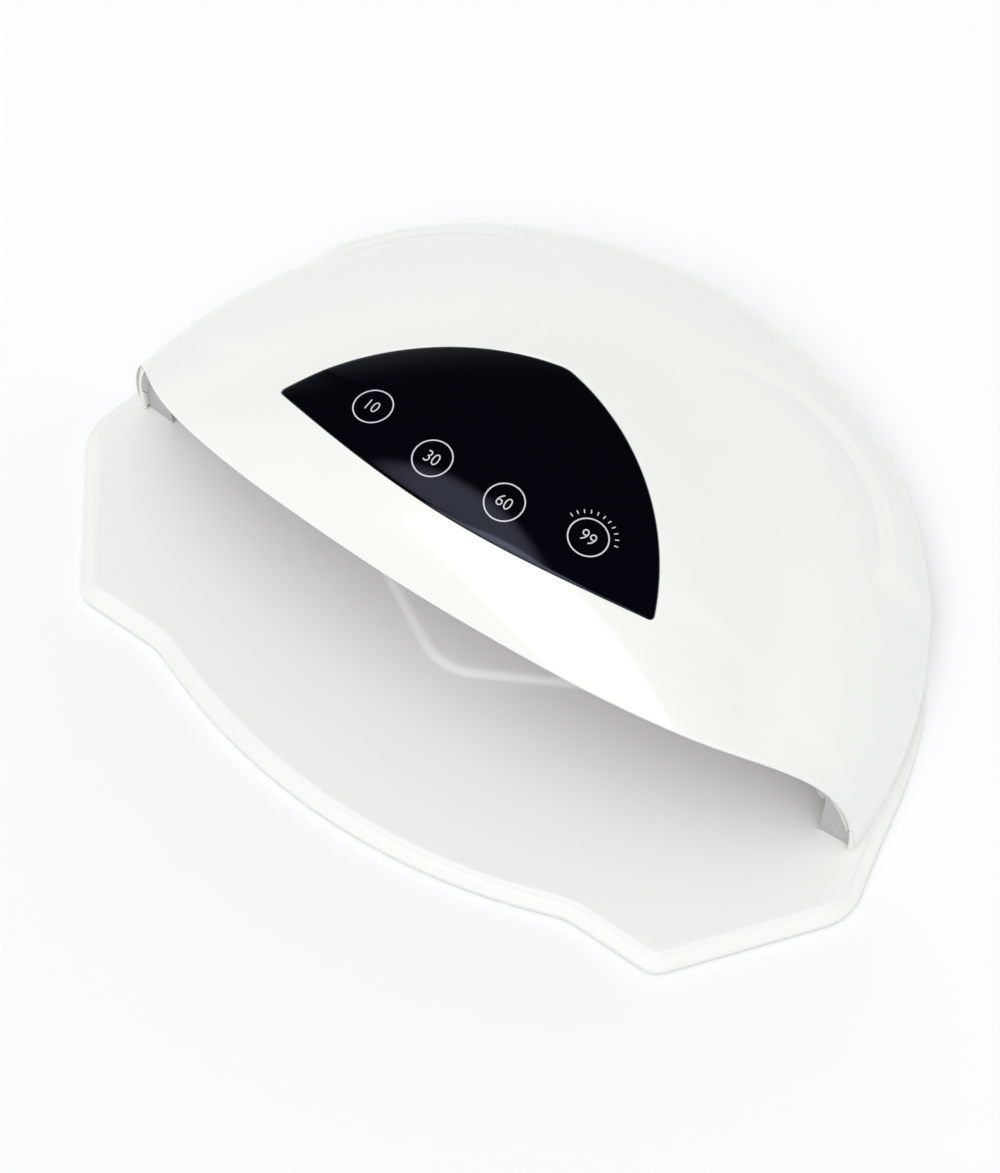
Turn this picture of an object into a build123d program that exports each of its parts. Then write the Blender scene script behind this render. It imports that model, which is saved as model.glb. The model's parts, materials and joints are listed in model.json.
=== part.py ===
from build123d import *
import os
from math import cos, pi, sin

# LED nail lamp that takes both hands: a lamp head on a lift-off base tray.
# Millimetres, +Z up, the mouth faces -Y, X = 0 is the plane of symmetry and
# the feet of the base stand on Z = 0.

# Base tray and its underside
FOOT_HEIGHT = 0.8
BOTTOM_PLATE_THICKNESS = 1.4
BOTTOM_PLATE_INSET = 1.2
TRAY_THICKNESS = 3.8
TRAY_RIM_HEIGHT = 1.6
TRAY_RIM_SLOPE = 0.7
TRAY_PLATEAU_SHARE = 0.97
TRAY_EDGE_SLOPE = 0.9
TRAY_FRONT_Y = -114.0
TRAY_FRONT_ARC_HALF = 80.0
TRAY_FRONT_ARC_RISE = 16.0
EAR_X = 112.0
EAR_Y = -98.2
EAR_RADIUS = 8.0
NOTCH_RADIUS = 28.0
FLANK_X = 151.6
FLANK_Y = -47.6
FLANK_RADIUS = 18.0
TRAY_SIDE_X = 146.4
TRAY_SIDE_Y = -22.0
REAR_Y = 113.0
ISLAND_HEIGHT = 1.4
ISLAND_TIP_Y = -55.0
ISLAND_HALF_WIDTH = 66.0
ISLAND_SHOULDER_Y = -18.7
ISLAND_REAR_HALF = 40.0
ISLAND_REAR_Y = 50.0
ISLAND_RADIUS = 22.0
ISLAND_EDGE_SLOPE = 0.9
PAD_RADIUS = 6.0
PAD_RECESS = 0.4

# Lamp head
HEAD_GAP = 0.3
CENTRE_Y = -27.0
HALF_WIDTH = 141.0
CROWN_HEIGHT = 96.4
REAR_LENGTH = 140.0
CROWN_EXPONENT = 2.1
LIP_DEPTH = 43.5
LIP_DROP = 0.15
LIP_SQUARING = 0.9
RIDGE_SHARPENING = 0.2
REAR_NARROWING = 0.05
FRONT_DEPTH = 50.0
FRONT_SPANS = 5
REAR_SPANS = 13
REAR_END_TURN = 1.43
WALL = 2.4
FENDER_START = (103.0, 35.0)
FENDER_SLANT = 26.0
FENDER_SWELL = 1.03
FENDER_LEAN = 0.06
CREASE_RADIUS = 46.0
CREASE_X = 62.0
CREASE_Y = 25.0
VENT_COUNT = 6
VENT_PITCH = 6.0
VENT_FIRST_X = 24.0
VENT_WIDTH = 2.0
VENT_HEIGHT = 9.0
VENT_RISE = 4.0
VENT_START_Y = 97.0

# Control panel
PANEL_CORNER_X = 67.2
PANEL_CORNER_Y = -39.2
PANEL_FRONT_Y = -48.4
PANEL_APEX_Y = 15.4
PANEL_BULGE_X = 39.4
PANEL_BULGE_Y = -2.6
PANEL_CORNER_RADIUS = 1.6
PANEL_APEX_RADIUS = 10.0
PANEL_RECESS = 1.4
PANEL_SINK = 0.1
PANEL_MIDDLE_Y = -20.0
PANEL_LENS_SHARE = 0.996
PANEL_WINDOW_SHARE = 0.87
KEYS = [(12.8, -37.0), (38.4, -31.5)]

# Lamp chamber and its liner
CHAMBER_HALF_WIDTH = 128.0
CHAMBER_HEIGHT = 69.0
CHAMBER_EXPONENT = 2.8
CHAMBER_LENGTH = 112.0
CHAMBER_REAR_SHARE = 0.82
CHAMBER_SPANS = 8
LINER_WALL = 1.8
LINER_CLEARANCE = 0.2
FLANGE_THICKNESS = 2.4
FASCIA_THICKNESS = 2.2

# Lamps and boards
BOARD_THICKNESS = 1.2
LENS_RADIUS = 4.2
LENS_CLEARANCE = 0.15
LENS_PROUD = 1.2
LENS_TIP_SLOPE = 1.0
CHIP_SIZE = 3.5
CHIP_HEIGHT = 0.7
CHIP_POCKET_SIZE = 4.4
CHIP_POCKET_DEPTH = 1.0
ROOF_BOARD_HALF = 62.0
ROOF_BOARD_FRONT_Y = -50.0
ROOF_BOARD_REAR_Y = 16.0
ROOF_BOARD_RISE = 4.0
ROOF_LENS_PITCH = 25.0
ROOF_LENS_ROWS = [-40.0, -16.0, 8.0]
SIDE_LENS_PITCH = 8.9
SIDE_LENS_Y = -12.8
SIDE_LENS_Z = 18.0
SIDE_BOARD_HALF_LENGTH = 14.3
SIDE_BOARD_HALF_HEIGHT = 8.0
SIDE_RIB_WIDTH = 1.0
REAR_LENS_PITCH = 16.0
REAR_LENS_Z = 27.0
REAR_BOARD_HALF = 40.0
REAR_BOARD_HALF_HEIGHT = 12.0
SENSOR_RADIUS = 2.5
SENSOR_X = 12.5
SENSOR_Y = -28.0
CONTROL_BOARD_THICKNESS = 1.6
CONTROL_BOARD_LIFT = 4.1
CONTROL_POSTS = [(0.0, 24.0), (55.0, -8.0), (29.0, -51.5)]
DISPLAY_SIZE = (26.0, 13.0, 9.5)
DISPLAY_Y = -8.0
SPRING_RADIUS = 3.6
SPRING_WIRE = 0.6
CONNECTOR_SIZE = (22.0, 5.0)
CONNECTOR_Y = -28.0
DRIVER_BOARD_HALF = 34.0
DRIVER_BOARD_FRONT_Y = 80.0
DRIVER_BOARD_REAR_Y = 95.0
DRIVER_BOARD_RISE = 4.0

# Fasteners and magnets
FIT_CLEARANCE = 0.05
SCREW_RADIUS = 1.3
SCREW_HEAD_RADIUS = 2.5
SCREW_HEAD_HEIGHT = 1.4
SCREW_LENGTH = 9.0
BOSS_RADIUS = 3.0
BOSSES = [(127.4, 11.0), (79.0, 80.0), (44.0, 92.0)]
SMALL_SCREW_RADIUS = 1.0
SMALL_HEAD_RADIUS = 2.0
SMALL_HEAD_HEIGHT = 0.9
SMALL_SCREW_LENGTH = 3.4
POST_RADIUS = 2.8
ROOF_POSTS = [(57.0, -45.0), (57.0, 11.0)]
TRAY_SCREWS = [(60.0, -96.0), (118.0, 20.0)]
TRAY_PADS = [(98.0, -86.0), (131.0, -30.0), (70.0, 82.0)]
MAGNET_RADIUS = 3.0
MAGNET_SKIN = 0.7
MAGNETS = [(104.0, 50.0), (58.0, 84.0)]

# Power inlet
JACK_BODY = (10.0, 10.4, 10.0)
JACK_RISE = 3.0
JACK_HOLE_RADIUS = 4.0
JACK_BORE_RADIUS = 3.0
JACK_PIN_RADIUS = 1.05
JACK_DEPTH = 9.0
JACK_SINK = 0.4

# Heights that follow from the sizes above
PLATE_Z = FOOT_HEIGHT
TRAY_Z = PLATE_Z + BOTTOM_PLATE_THICKNESS
TRAY_TOP_Z = TRAY_Z + TRAY_THICKNESS
HEAD_Z = TRAY_TOP_Z + HEAD_GAP
FLANGE_TOP_Z = HEAD_Z + FLANGE_THICKNESS
ROOF_BOARD_Z = HEAD_Z + CHAMBER_HEIGHT + LINER_WALL + ROOF_BOARD_RISE
ROOF_BOARD_TOP_Z = ROOF_BOARD_Z + BOARD_THICKNESS
CONTROL_BOARD_Z = ROOF_BOARD_TOP_Z + CONTROL_BOARD_LIFT
CONTROL_TOP_Z = CONTROL_BOARD_Z + CONTROL_BOARD_THICKNESS
DRIVER_BOARD_Z = FLANGE_TOP_Z + DRIVER_BOARD_RISE
SIDE_BOARD_X = CHAMBER_HALF_WIDTH + LINER_WALL + LINER_CLEARANCE
CHAMBER_REAR_Y = CENTRE_Y + CHAMBER_LENGTH * CHAMBER_REAR_SHARE
REAR_BOARD_Y = CHAMBER_REAR_Y + LINER_WALL
LENS_HOLE_RADIUS = LENS_RADIUS + LENS_CLEARANCE
JACK_Z = FLANGE_TOP_Z + JACK_RISE + JACK_BODY[2] / 2
JACK_FRONT_Y = DRIVER_BOARD_REAR_Y + 1.5
JACK_REAR_Y = JACK_FRONT_Y + JACK_BODY[1]


def mirrored(points):
    """Closes a half list of (x, y) points from X = 0 with its mirror image."""
    return [(-x, y) for x, y in reversed(points) if x > 0] + list(points)


def both_sides(points):
    """The same places on the right and, unless they are in the middle, on the left."""
    return [(side * x, y) for x, y in points for side in (1, -1) if x > 0 or side > 0]


def prism(face, low, high):
    """Extrudes a flat face standing on Z = 0 to lie between two heights."""
    return extrude(Pos(0, 0, low) * face, high - low)


def upright(x, y, low, high, radius):
    """A round bar along Z between two heights."""
    return Pos(x, y, (low + high) / 2) * Cylinder(radius, high - low)


def block(x_range, y_range, z_range):
    """A box given by its extents on the three axes."""
    size = [high - low for low, high in (x_range, y_range, z_range)]
    centre = [(high + low) / 2 for low, high in (x_range, y_range, z_range)]
    return Pos(*centre) * Box(*size)


def whole(half):
    """A right half joined to its mirror image."""
    return half + mirror(half, about=Plane.YZ)


def half_arch(y, half_width, height, exponent, leg, lean=0.0):
    """Right half of a superellipse arch across the lamp, closed along X = 0."""
    count = 8
    points = []
    for step in range(count + 1):
        turn = pi / 2 * step / count
        across = sin(turn) ** (2 / exponent)
        rise = 0.0 if step == count else cos(turn) ** (2 / exponent)
        x = half_width * across
        points.append(Vector(x, y + lean * x, HEAD_Z + height * rise))
    shares = [step / count for step in range(count + 1)]
    outward = Vector(1, lean, 0).normalized()
    curve = Edge.make_spline(points, tangents=[outward, Vector(0, 0, -1)], parameters=shares)
    low_middle = Vector(0, y, HEAD_Z - leg)
    low_side = Vector(half_width, y + lean * half_width, HEAD_Z - leg)
    edges = [curve, Edge.make_line(low_side, low_middle), Edge.make_line(low_middle, points[0])]
    if leg > 0:
        edges.insert(1, Edge.make_line(points[-1], low_side))
    return Wire(edges)


def front_section(depth):
    """Shares of height and the arch's exponent at a distance in front of the centre."""
    share = depth / LIP_DEPTH
    return 1 - LIP_DROP * share**2.45, CROWN_EXPONENT + LIP_SQUARING * share**1.65


def rear_section(share):
    """Shares of width and height and the exponent at a share of the rear length."""
    fall = (1 - share**2) ** 0.5
    exponent = CROWN_EXPONENT - RIDGE_SHARPENING * (1 - max(0.0, 1 - share / 0.6) ** 2)
    return fall * (1 - REAR_NARROWING * share**3), fall, exponent


def half_dome(inset, leg=0.0, swell=1.0, lean=0.0):
    """Right half of the head's dome, drawn in by a wall, swelled sideways and swept back."""
    wires = []
    depths = [FRONT_DEPTH * step / FRONT_SPANS for step in range(FRONT_SPANS, 0, -1)]
    if leg > 0:
        depths.insert(0, FRONT_DEPTH + leg)
    for depth in depths:
        height_share, exponent = front_section(depth)
        height = CROWN_HEIGHT * height_share - inset
        half_width = (HALF_WIDTH - inset) * swell
        wires.append(half_arch(CENTRE_Y - depth, half_width, height, exponent, leg, lean))
    for step in range(REAR_SPANS + 1):
        share = sin(REAR_END_TURN * step / REAR_SPANS)
        width_share, height_share, exponent = rear_section(share)
        y = CENTRE_Y + (REAR_LENGTH - inset) * share
        height = (CROWN_HEIGHT - inset) * height_share
        half_width = (HALF_WIDTH - inset) * width_share * swell
        wires.append(half_arch(y, half_width, height, exponent, leg, lean))
    return Solid.make_loft(wires, ruled=True)


def half_chamber(outset, leg=0.0):
    """Right half of the space over the hands: a flat-topped tunnel, upright behind."""
    wires = []
    half_width = CHAMBER_HALF_WIDTH + outset
    height = CHAMBER_HEIGHT + outset
    wires.append(half_arch(CENTRE_Y - FRONT_DEPTH, half_width, height, CHAMBER_EXPONENT, leg))
    for step in range(CHAMBER_SPANS + 1):
        share = CHAMBER_REAR_SHARE * step / CHAMBER_SPANS
        grown = outset * (1 + share**2)
        half_width = CHAMBER_HALF_WIDTH * (1 - share**2.1) ** (1 / 2.1) + grown
        height = CHAMBER_HEIGHT * (1 - share**3) ** (1 / 3) + grown
        y = CENTRE_Y + CHAMBER_LENGTH * share
        wires.append(half_arch(y, half_width, height, CHAMBER_EXPONENT, leg))
    tunnel = Solid.make_loft(wires, ruled=True)
    if outset == 0:
        return tunnel
    return tunnel + extrude(make_face(wires[-1].edges()), outset, dir=(0, 1, 0))


def roof_z(x):
    """Height of the chamber's roof at a place across it, in front of its centre."""
    fall = 1 - (abs(x) / CHAMBER_HALF_WIDTH) ** CHAMBER_EXPONENT
    return HEAD_Z + CHAMBER_HEIGHT * fall ** (1 / CHAMBER_EXPONENT)


def wall_x(y):
    """Half width of the chamber near its floor at a place along it."""
    share = max(0.0, y - CENTRE_Y) / CHAMBER_LENGTH
    return CHAMBER_HALF_WIDTH * (1 - share**2.1) ** (1 / 2.1)


# Outline of the back of the lamp, from its side to the blunt point behind
REAR_OUTLINE = [
    (142.0, 2.0),
    (128.5, 37.0),
    (105.5, 67.5),
    (81.0, 92.5),
    (61.0, 101.3),
    (38.0, 106.8),
    (14.0, 111.8),
]
# Lip of the mouth seen from above, from the middle to the right foot
LIP = [
    (0.0, -70.5),
    (40.0, -69.4),
    (75.0, -65.5),
    (102.0, -56.7),
    (123.6, -41.6),
    (136.0, -33.0),
    (146.0, -29.0),
]
# Front face of the liner seen from above: out of sight behind the lip, and square at the feet
FASCIA = [
    (0.0, -60.5),
    (40.0, -59.4),
    (75.0, -54.6),
    (98.0, -46.4),
    (112.0, -37.6),
    (122.0, -31.2),
    (131.0, -29.4),
    (146.0, -28.6),
]


def tray_outline():
    """The base seen from above: bowed front, two ears and a rounded back."""
    front_y = TRAY_FRONT_Y + TRAY_FRONT_ARC_RISE
    bow_end = (TRAY_FRONT_ARC_HALF, front_y)
    bow = ThreePointArc((-TRAY_FRONT_ARC_HALF, front_y), (0, TRAY_FRONT_Y), bow_end)
    side = Polyline(bow_end, (EAR_X, EAR_Y), (FLANK_X, FLANK_Y), (TRAY_SIDE_X, TRAY_SIDE_Y))
    rear_points = [(TRAY_SIDE_X, TRAY_SIDE_Y)] + REAR_OUTLINE + [(0, REAR_Y)]
    lean = (TRAY_SIDE_X - FLANK_X, TRAY_SIDE_Y - FLANK_Y)
    rear = Spline(rear_points, tangents=[lean, (-1, 0)])
    half = [side, rear]
    outline = make_face([bow] + half + [mirror(edge, about=Plane.YZ) for edge in half])
    for corner_x, radius in (
        (TRAY_FRONT_ARC_HALF, NOTCH_RADIUS),
        (EAR_X, EAR_RADIUS),
        (FLANK_X, FLANK_RADIUS),
    ):
        corners = outline.vertices().filter_by(lambda v: abs(abs(v.X) - corner_x) < 0.01)
        outline = fillet(corners, radius)
    return outline


def island_outline():
    """Low raised place in the middle of the tray that parts the two hands."""
    half = [
        (0, ISLAND_TIP_Y),
        (ISLAND_HALF_WIDTH, ISLAND_SHOULDER_Y),
        (ISLAND_REAR_HALF, ISLAND_REAR_Y),
    ]
    outline = make_face(Polyline(*mirrored(half), close=True))
    return fillet(outline.vertices(), ISLAND_RADIUS)


def shell_outline():
    """Outline of the head behind the front ends of its fenders."""
    points = mirrored([(0, REAR_Y)] + REAR_OUTLINE[:0:-1])
    return make_face([Spline(points), Line(points[-1], points[0])])


def panel_outline(share=1.0):
    """The rounded triangle of the control panel, its point towards the back."""
    corner = (PANEL_CORNER_X, PANEL_CORNER_Y)
    front = ThreePointArc((-PANEL_CORNER_X, PANEL_CORNER_Y), (0, PANEL_FRONT_Y), corner)
    right = ThreePointArc(corner, (PANEL_BULGE_X, PANEL_BULGE_Y), (0, PANEL_APEX_Y))
    outline = make_face([front, right, mirror(right, about=Plane.YZ)])
    outline = fillet(outline.vertices().sort_by(Axis.Y)[-1], PANEL_APEX_RADIUS)
    corners = outline.vertices().filter_by(lambda v: abs(v.X) > PANEL_CORNER_X - 0.1)
    outline = fillet(corners, PANEL_CORNER_RADIUS)
    return Pos(0, PANEL_MIDDLE_Y) * scale(Pos(0, -PANEL_MIDDLE_Y) * outline, share)


def mouth_cut(line, setback=0.0):
    """All that lies in front of a line seen from above, moved back by a setback."""
    side_x, foot_y = line[-1]
    curve = Spline(mirrored(line))
    ahead = Polyline((side_x, foot_y), (side_x, -150), (-side_x, -150), (-side_x, foot_y))
    return prism(Pos(0, setback) * make_face([curve, ahead]), -10, 130)


def half_fender():
    """Raised band over the right rear side, with a blunt front end and a crease above."""
    walls = prism(shell_outline(), HEAD_Z, HEAD_Z + CROWN_HEIGHT)
    inside = upright(CREASE_X, CREASE_Y, -20, 140, CREASE_RADIUS)
    reach = Pos(*FENDER_START) * Rot(0, 0, FENDER_SLANT) * block((-150, 60), (0, 130), (0, 130))
    behind = block((0, 160), (0, 130), (0, 130))
    swept = half_dome(0, swell=FENDER_SWELL, lean=FENDER_LEAN)
    return ((walls & swept) - inside) & reach & behind


def make_upper_shell():
    """The moulded housing: dome, fenders, panel recess, screw bosses and vents."""
    right_side = block((0, 200), (-150, 150), (-10, 150))
    half = half_dome(0) + half_fender() - half_dome(WALL, leg=5.0) - mouth_cut(LIP)
    pocket = prism(panel_outline(), 0, 130) - half_dome(PANEL_RECESS)
    window = prism(panel_outline(PANEL_WINDOW_SHARE), CONTROL_TOP_Z, 130)
    half = half - (pocket & right_side) - window
    for x, y in BOSSES:
        half = half + (upright(x, y, FLANGE_TOP_Z, 130, BOSS_RADIUS) & half_dome(0))
    for x, y in CONTROL_POSTS:
        post = upright(x, y, CONTROL_TOP_Z, 130, POST_RADIUS) & half_dome(0)
        half = half + post
    shell = whole(half)
    for x, y in both_sides(BOSSES):
        top = HEAD_Z + SCREW_HEAD_HEIGHT + SCREW_LENGTH + 1
        shell = shell - upright(x, y, 0, top, SCREW_RADIUS + FIT_CLEARANCE)
    for number in range(VENT_COUNT):
        x = VENT_FIRST_X + number * VENT_PITCH
        low = FLANGE_TOP_Z + VENT_RISE
        for side in (1, -1):
            slot = block(
                (side * x - VENT_WIDTH / 2, side * x + VENT_WIDTH / 2),
                (VENT_START_Y, REAR_Y + 5),
                (low, low + VENT_HEIGHT),
            )
            shell = shell - slot
    hole = Pos(0, REAR_Y, JACK_Z) * Rot(90, 0, 0) * Cylinder(JACK_HOLE_RADIUS, 20)
    return shell - hole


def make_panel_lens():
    """Black glossy window that covers the recess, flush with the dome."""
    ring = prism(panel_outline(PANEL_LENS_SHARE), CONTROL_TOP_Z, 130)
    right_side = block((0, 200), (-150, 150), (-10, 150))
    layer = half_dome(PANEL_SINK) - half_dome(PANEL_RECESS - PANEL_SINK)
    return whole(ring & layer & right_side)


def lens_places():
    """Where the lamp lenses stand, as (group, location on the board, length)."""
    places = []
    for column in range(-2, 3):
        x = column * ROOF_LENS_PITCH
        length = ROOF_BOARD_Z - roof_z(x) + LENS_PROUD
        for y in ROOF_LENS_ROWS:
            places.append(("roof", Pos(x, y, ROOF_BOARD_Z) * Rot(180, 0, 0), length))
    for group, side in (("right", 1), ("left", -1)):
        for row in range(-1, 2):
            y = SIDE_LENS_Y + row * SIDE_LENS_PITCH
            spot = Pos(side * SIDE_BOARD_X, y, SIDE_LENS_Z) * Rot(0, -90 * side, 0)
            places.append((group, spot, SIDE_BOARD_X - wall_x(y) + LENS_PROUD))
    for column in range(-2, 3):
        spot = Pos(column * REAR_LENS_PITCH, REAR_BOARD_Y, REAR_LENS_Z) * Rot(90, 0, 0)
        places.append(("rear", spot, REAR_BOARD_Y - CHAMBER_REAR_Y + LENS_PROUD))
    return places


def make_lens(length):
    """One clear cup that stands on its board over a light chip and ends rounded."""
    bar = Pos(0, 0, length / 2) * Cylinder(LENS_RADIUS, length)
    bar = chamfer(bar.edges().sort_by(Axis.Z)[-1], LENS_TIP_SLOPE)
    pocket = Box(CHIP_POCKET_SIZE, CHIP_POCKET_SIZE, CHIP_POCKET_DEPTH)
    return bar - Pos(0, 0, CHIP_POCKET_DEPTH / 2) * pocket


def make_liner():
    """Chamber liner: skin, front fascia behind the lip, and bottom flange."""
    room = half_chamber(0, leg=5.0)
    skin = half_chamber(LINER_WALL, leg=HEAD_GAP)
    inside_shell = half_dome(WALL + LINER_CLEARANCE, leg=HEAD_GAP)
    fascia = (inside_shell & mouth_cut(FASCIA, FASCIA_THICKNESS)) - room
    flange = inside_shell & block((0, 200), (-150, 150), (TRAY_TOP_Z, FLANGE_TOP_Z))
    half = (skin + flange - room) + fascia
    half = half - mouth_cut(FASCIA)
    for x, y in ROOF_POSTS:
        half = half + (upright(x, y, HEAD_Z + CHAMBER_HEIGHT / 2, ROOF_BOARD_Z, POST_RADIUS) - room)
    stand = (DRIVER_BOARD_HALF - POST_RADIUS, DRIVER_BOARD_FRONT_Y + POST_RADIUS)
    half = half + upright(*stand, HEAD_Z, DRIVER_BOARD_Z, POST_RADIUS)
    cradle_top = JACK_Z - JACK_BODY[2] / 2
    half = half + block((0, JACK_BODY[0] / 2), (JACK_FRONT_Y, JACK_REAR_Y), (HEAD_Z, cradle_top))
    rib_z = (HEAD_Z, SIDE_LENS_Z + SIDE_BOARD_HALF_HEIGHT)
    for side in (-1, 1):
        edge = SIDE_LENS_Y + side * SIDE_BOARD_HALF_LENGTH
        rib_y = sorted((edge, edge - side * SIDE_RIB_WIDTH))
        half = half + block((wall_x(edge) + LINER_WALL / 4, SIDE_BOARD_X), rib_y, rib_z)
    liner = whole(half)
    for _, spot, length in lens_places():
        liner = liner - spot * Pos(0, 0, length / 2) * Cylinder(LENS_HOLE_RADIUS, length + 4)
    for x in (-SENSOR_X, SENSOR_X):
        liner = liner - upright(x, SENSOR_Y, 60, ROOF_BOARD_Z, SENSOR_RADIUS + LENS_CLEARANCE)
    for x, y in both_sides(BOSSES):
        liner = liner - upright(x, y, 0, HEAD_Z + SCREW_HEAD_HEIGHT + 0.1, SCREW_HEAD_RADIUS + 0.2)
        liner = liner - upright(x, y, 0, FLANGE_TOP_Z + 1, SCREW_RADIUS + FIT_CLEARANCE)
    for x, y in both_sides(MAGNETS):
        top = FLANGE_TOP_Z - MAGNET_SKIN
        liner = liner - upright(x, y, 0, top, MAGNET_RADIUS + FIT_CLEARANCE)
    return liner


def screws(places, seat_z, head_radius, head_height, radius, length):
    """Screws that point up, with their heads below a seat."""
    solids = []
    for x, y in places:
        head = upright(x, y, seat_z - head_height, seat_z, head_radius)
        solids.append(head + upright(x, y, seat_z, seat_z + length, radius))
    return solids


parts = {}

# Base
outline = tray_outline()
rim = prism(outline, TRAY_Z, TRAY_Z + TRAY_RIM_HEIGHT)
rim = chamfer(rim.faces().sort_by(Axis.Z)[-1].edges(), TRAY_RIM_SLOPE)
plateau = prism(scale(outline, TRAY_PLATEAU_SHARE), TRAY_Z, TRAY_TOP_Z)
tray = rim + chamfer(plateau.faces().sort_by(Axis.Z)[-1].edges(), TRAY_EDGE_SLOPE)
island = prism(island_outline(), TRAY_TOP_Z - 1, TRAY_TOP_Z + ISLAND_HEIGHT)
island = chamfer(island.faces().sort_by(Axis.Z)[-1].edges(), ISLAND_EDGE_SLOPE)
tray = tray + island
plate = prism(scale(outline, 1 - BOTTOM_PLATE_INSET / FLANK_X), PLATE_Z, TRAY_Z)
tray_magnet_top = TRAY_TOP_Z - MAGNET_SKIN
for x, y in both_sides(MAGNETS):
    tray = tray - upright(x, y, TRAY_Z, tray_magnet_top, MAGNET_RADIUS + FIT_CLEARANCE)
tray_screw_seat = PLATE_Z + SMALL_HEAD_HEIGHT + 0.05
for x, y in both_sides(TRAY_SCREWS):
    tip = tray_screw_seat + SMALL_SCREW_LENGTH
    tray = tray - upright(x, y, TRAY_Z, tip, SMALL_SCREW_RADIUS + FIT_CLEARANCE)
    plate = plate - upright(x, y, 0, tray_screw_seat, SMALL_HEAD_RADIUS + 0.1)
    plate = plate - upright(x, y, 0, TRAY_Z + 1, SMALL_SCREW_RADIUS + FIT_CLEARANCE)
for x, y in both_sides(TRAY_PADS):
    plate = plate - upright(x, y, 0, PLATE_Z + PAD_RECESS, PAD_RADIUS)
parts["base_tray"] = tray
parts["base_bottom_plate"] = plate
parts["base_feet"] = [upright(x, y, 0, PLATE_Z + PAD_RECESS, PAD_RADIUS) for x, y in both_sides(TRAY_PADS)]
parts["base_magnets"] = [
    upright(x, y, TRAY_Z, tray_magnet_top, MAGNET_RADIUS) for x, y in both_sides(MAGNETS)
]
parts["base_screws"] = screws(
    both_sides(TRAY_SCREWS),
    tray_screw_seat,
    SMALL_HEAD_RADIUS,
    SMALL_HEAD_HEIGHT,
    SMALL_SCREW_RADIUS,
    SMALL_SCREW_LENGTH,
)

# Housing of the head
parts["upper_shell"] = make_upper_shell()
parts["panel_lens"] = make_panel_lens()
parts["chamber_liner"] = make_liner()
parts["head_magnets"] = [
    upright(x, y, HEAD_Z + 0.1, FLANGE_TOP_Z - MAGNET_SKIN, MAGNET_RADIUS) for x, y in both_sides(MAGNETS)
]
shell_screw_seat = HEAD_Z + SCREW_HEAD_HEIGHT + 0.1
parts["shell_screws"] = screws(
    both_sides(BOSSES),
    shell_screw_seat,
    SCREW_HEAD_RADIUS,
    SCREW_HEAD_HEIGHT,
    SCREW_RADIUS,
    SCREW_LENGTH,
)

# Lamp boards, light chips and lenses
roof_board = block(
    (-ROOF_BOARD_HALF, ROOF_BOARD_HALF),
    (ROOF_BOARD_FRONT_Y, ROOF_BOARD_REAR_Y),
    (ROOF_BOARD_Z, ROOF_BOARD_TOP_Z),
)
parts["led_board_roof"] = roof_board
for name, side in (("led_board_right", 1), ("led_board_left", -1)):
    inner, far = sorted((side * SIDE_BOARD_X, side * (SIDE_BOARD_X + BOARD_THICKNESS)))
    parts[name] = block(
        (inner, far),
        (SIDE_LENS_Y - SIDE_BOARD_HALF_LENGTH, SIDE_LENS_Y + SIDE_BOARD_HALF_LENGTH),
        (SIDE_LENS_Z - SIDE_BOARD_HALF_HEIGHT, SIDE_LENS_Z + SIDE_BOARD_HALF_HEIGHT),
    )
parts["led_board_rear"] = block(
    (-REAR_BOARD_HALF, REAR_BOARD_HALF),
    (REAR_BOARD_Y, REAR_BOARD_Y + BOARD_THICKNESS),
    (REAR_LENS_Z - REAR_BOARD_HALF_HEIGHT, REAR_LENS_Z + REAR_BOARD_HALF_HEIGHT),
)
chips = []
lenses = {"roof": [], "right": [], "left": [], "rear": []}
for group, spot, length in lens_places():
    lenses[group].append(spot * make_lens(length))
    chips.append(spot * Pos(0, 0, CHIP_HEIGHT / 2) * Box(CHIP_SIZE, CHIP_SIZE, CHIP_HEIGHT))
for group, solids in lenses.items():
    parts["led_lenses_" + group] = solids
parts["led_chips"] = chips
parts["hand_sensors"] = [
    upright(x, SENSOR_Y, roof_z(SENSOR_X) - 0.4, ROOF_BOARD_Z, SENSOR_RADIUS) for x in (SENSOR_X, -SENSOR_X)
]

# Control electronics under the panel
control_outline = [(35.0, -56.0), (62.5, -6.0), (0.0, 34.0)]
control_face = make_face(Polyline(*mirrored(control_outline[::-1]), close=True))
control_board = prism(fillet(control_face.vertices(), 5.0), CONTROL_BOARD_Z, CONTROL_TOP_Z)
parts["control_board"] = control_board
half_x, half_y = DISPLAY_SIZE[0] / 2, DISPLAY_SIZE[1] / 2
parts["display_module"] = block(
    (-half_x, half_x), (DISPLAY_Y - half_y, DISPLAY_Y + half_y), (CONTROL_TOP_Z, CONTROL_TOP_Z + DISPLAY_SIZE[2])
)
springs = []
under_panel = half_dome(PANEL_RECESS - PANEL_SINK)
for x, y in KEYS:
    tube = upright(x, y, CONTROL_TOP_Z, 130, SPRING_RADIUS)
    tube = tube - upright(x, y, CONTROL_TOP_Z - 1, 131, SPRING_RADIUS - SPRING_WIRE)
    springs.append(tube & under_panel)
parts["touch_springs"] = springs + [mirror(spring, about=Plane.YZ) for spring in springs]
parts["board_connector"] = block(
    (-CONNECTOR_SIZE[0] / 2, CONNECTOR_SIZE[0] / 2),
    (CONNECTOR_Y - CONNECTOR_SIZE[1] / 2, CONNECTOR_Y + CONNECTOR_SIZE[1] / 2),
    (ROOF_BOARD_TOP_Z, CONTROL_BOARD_Z),
)

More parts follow.
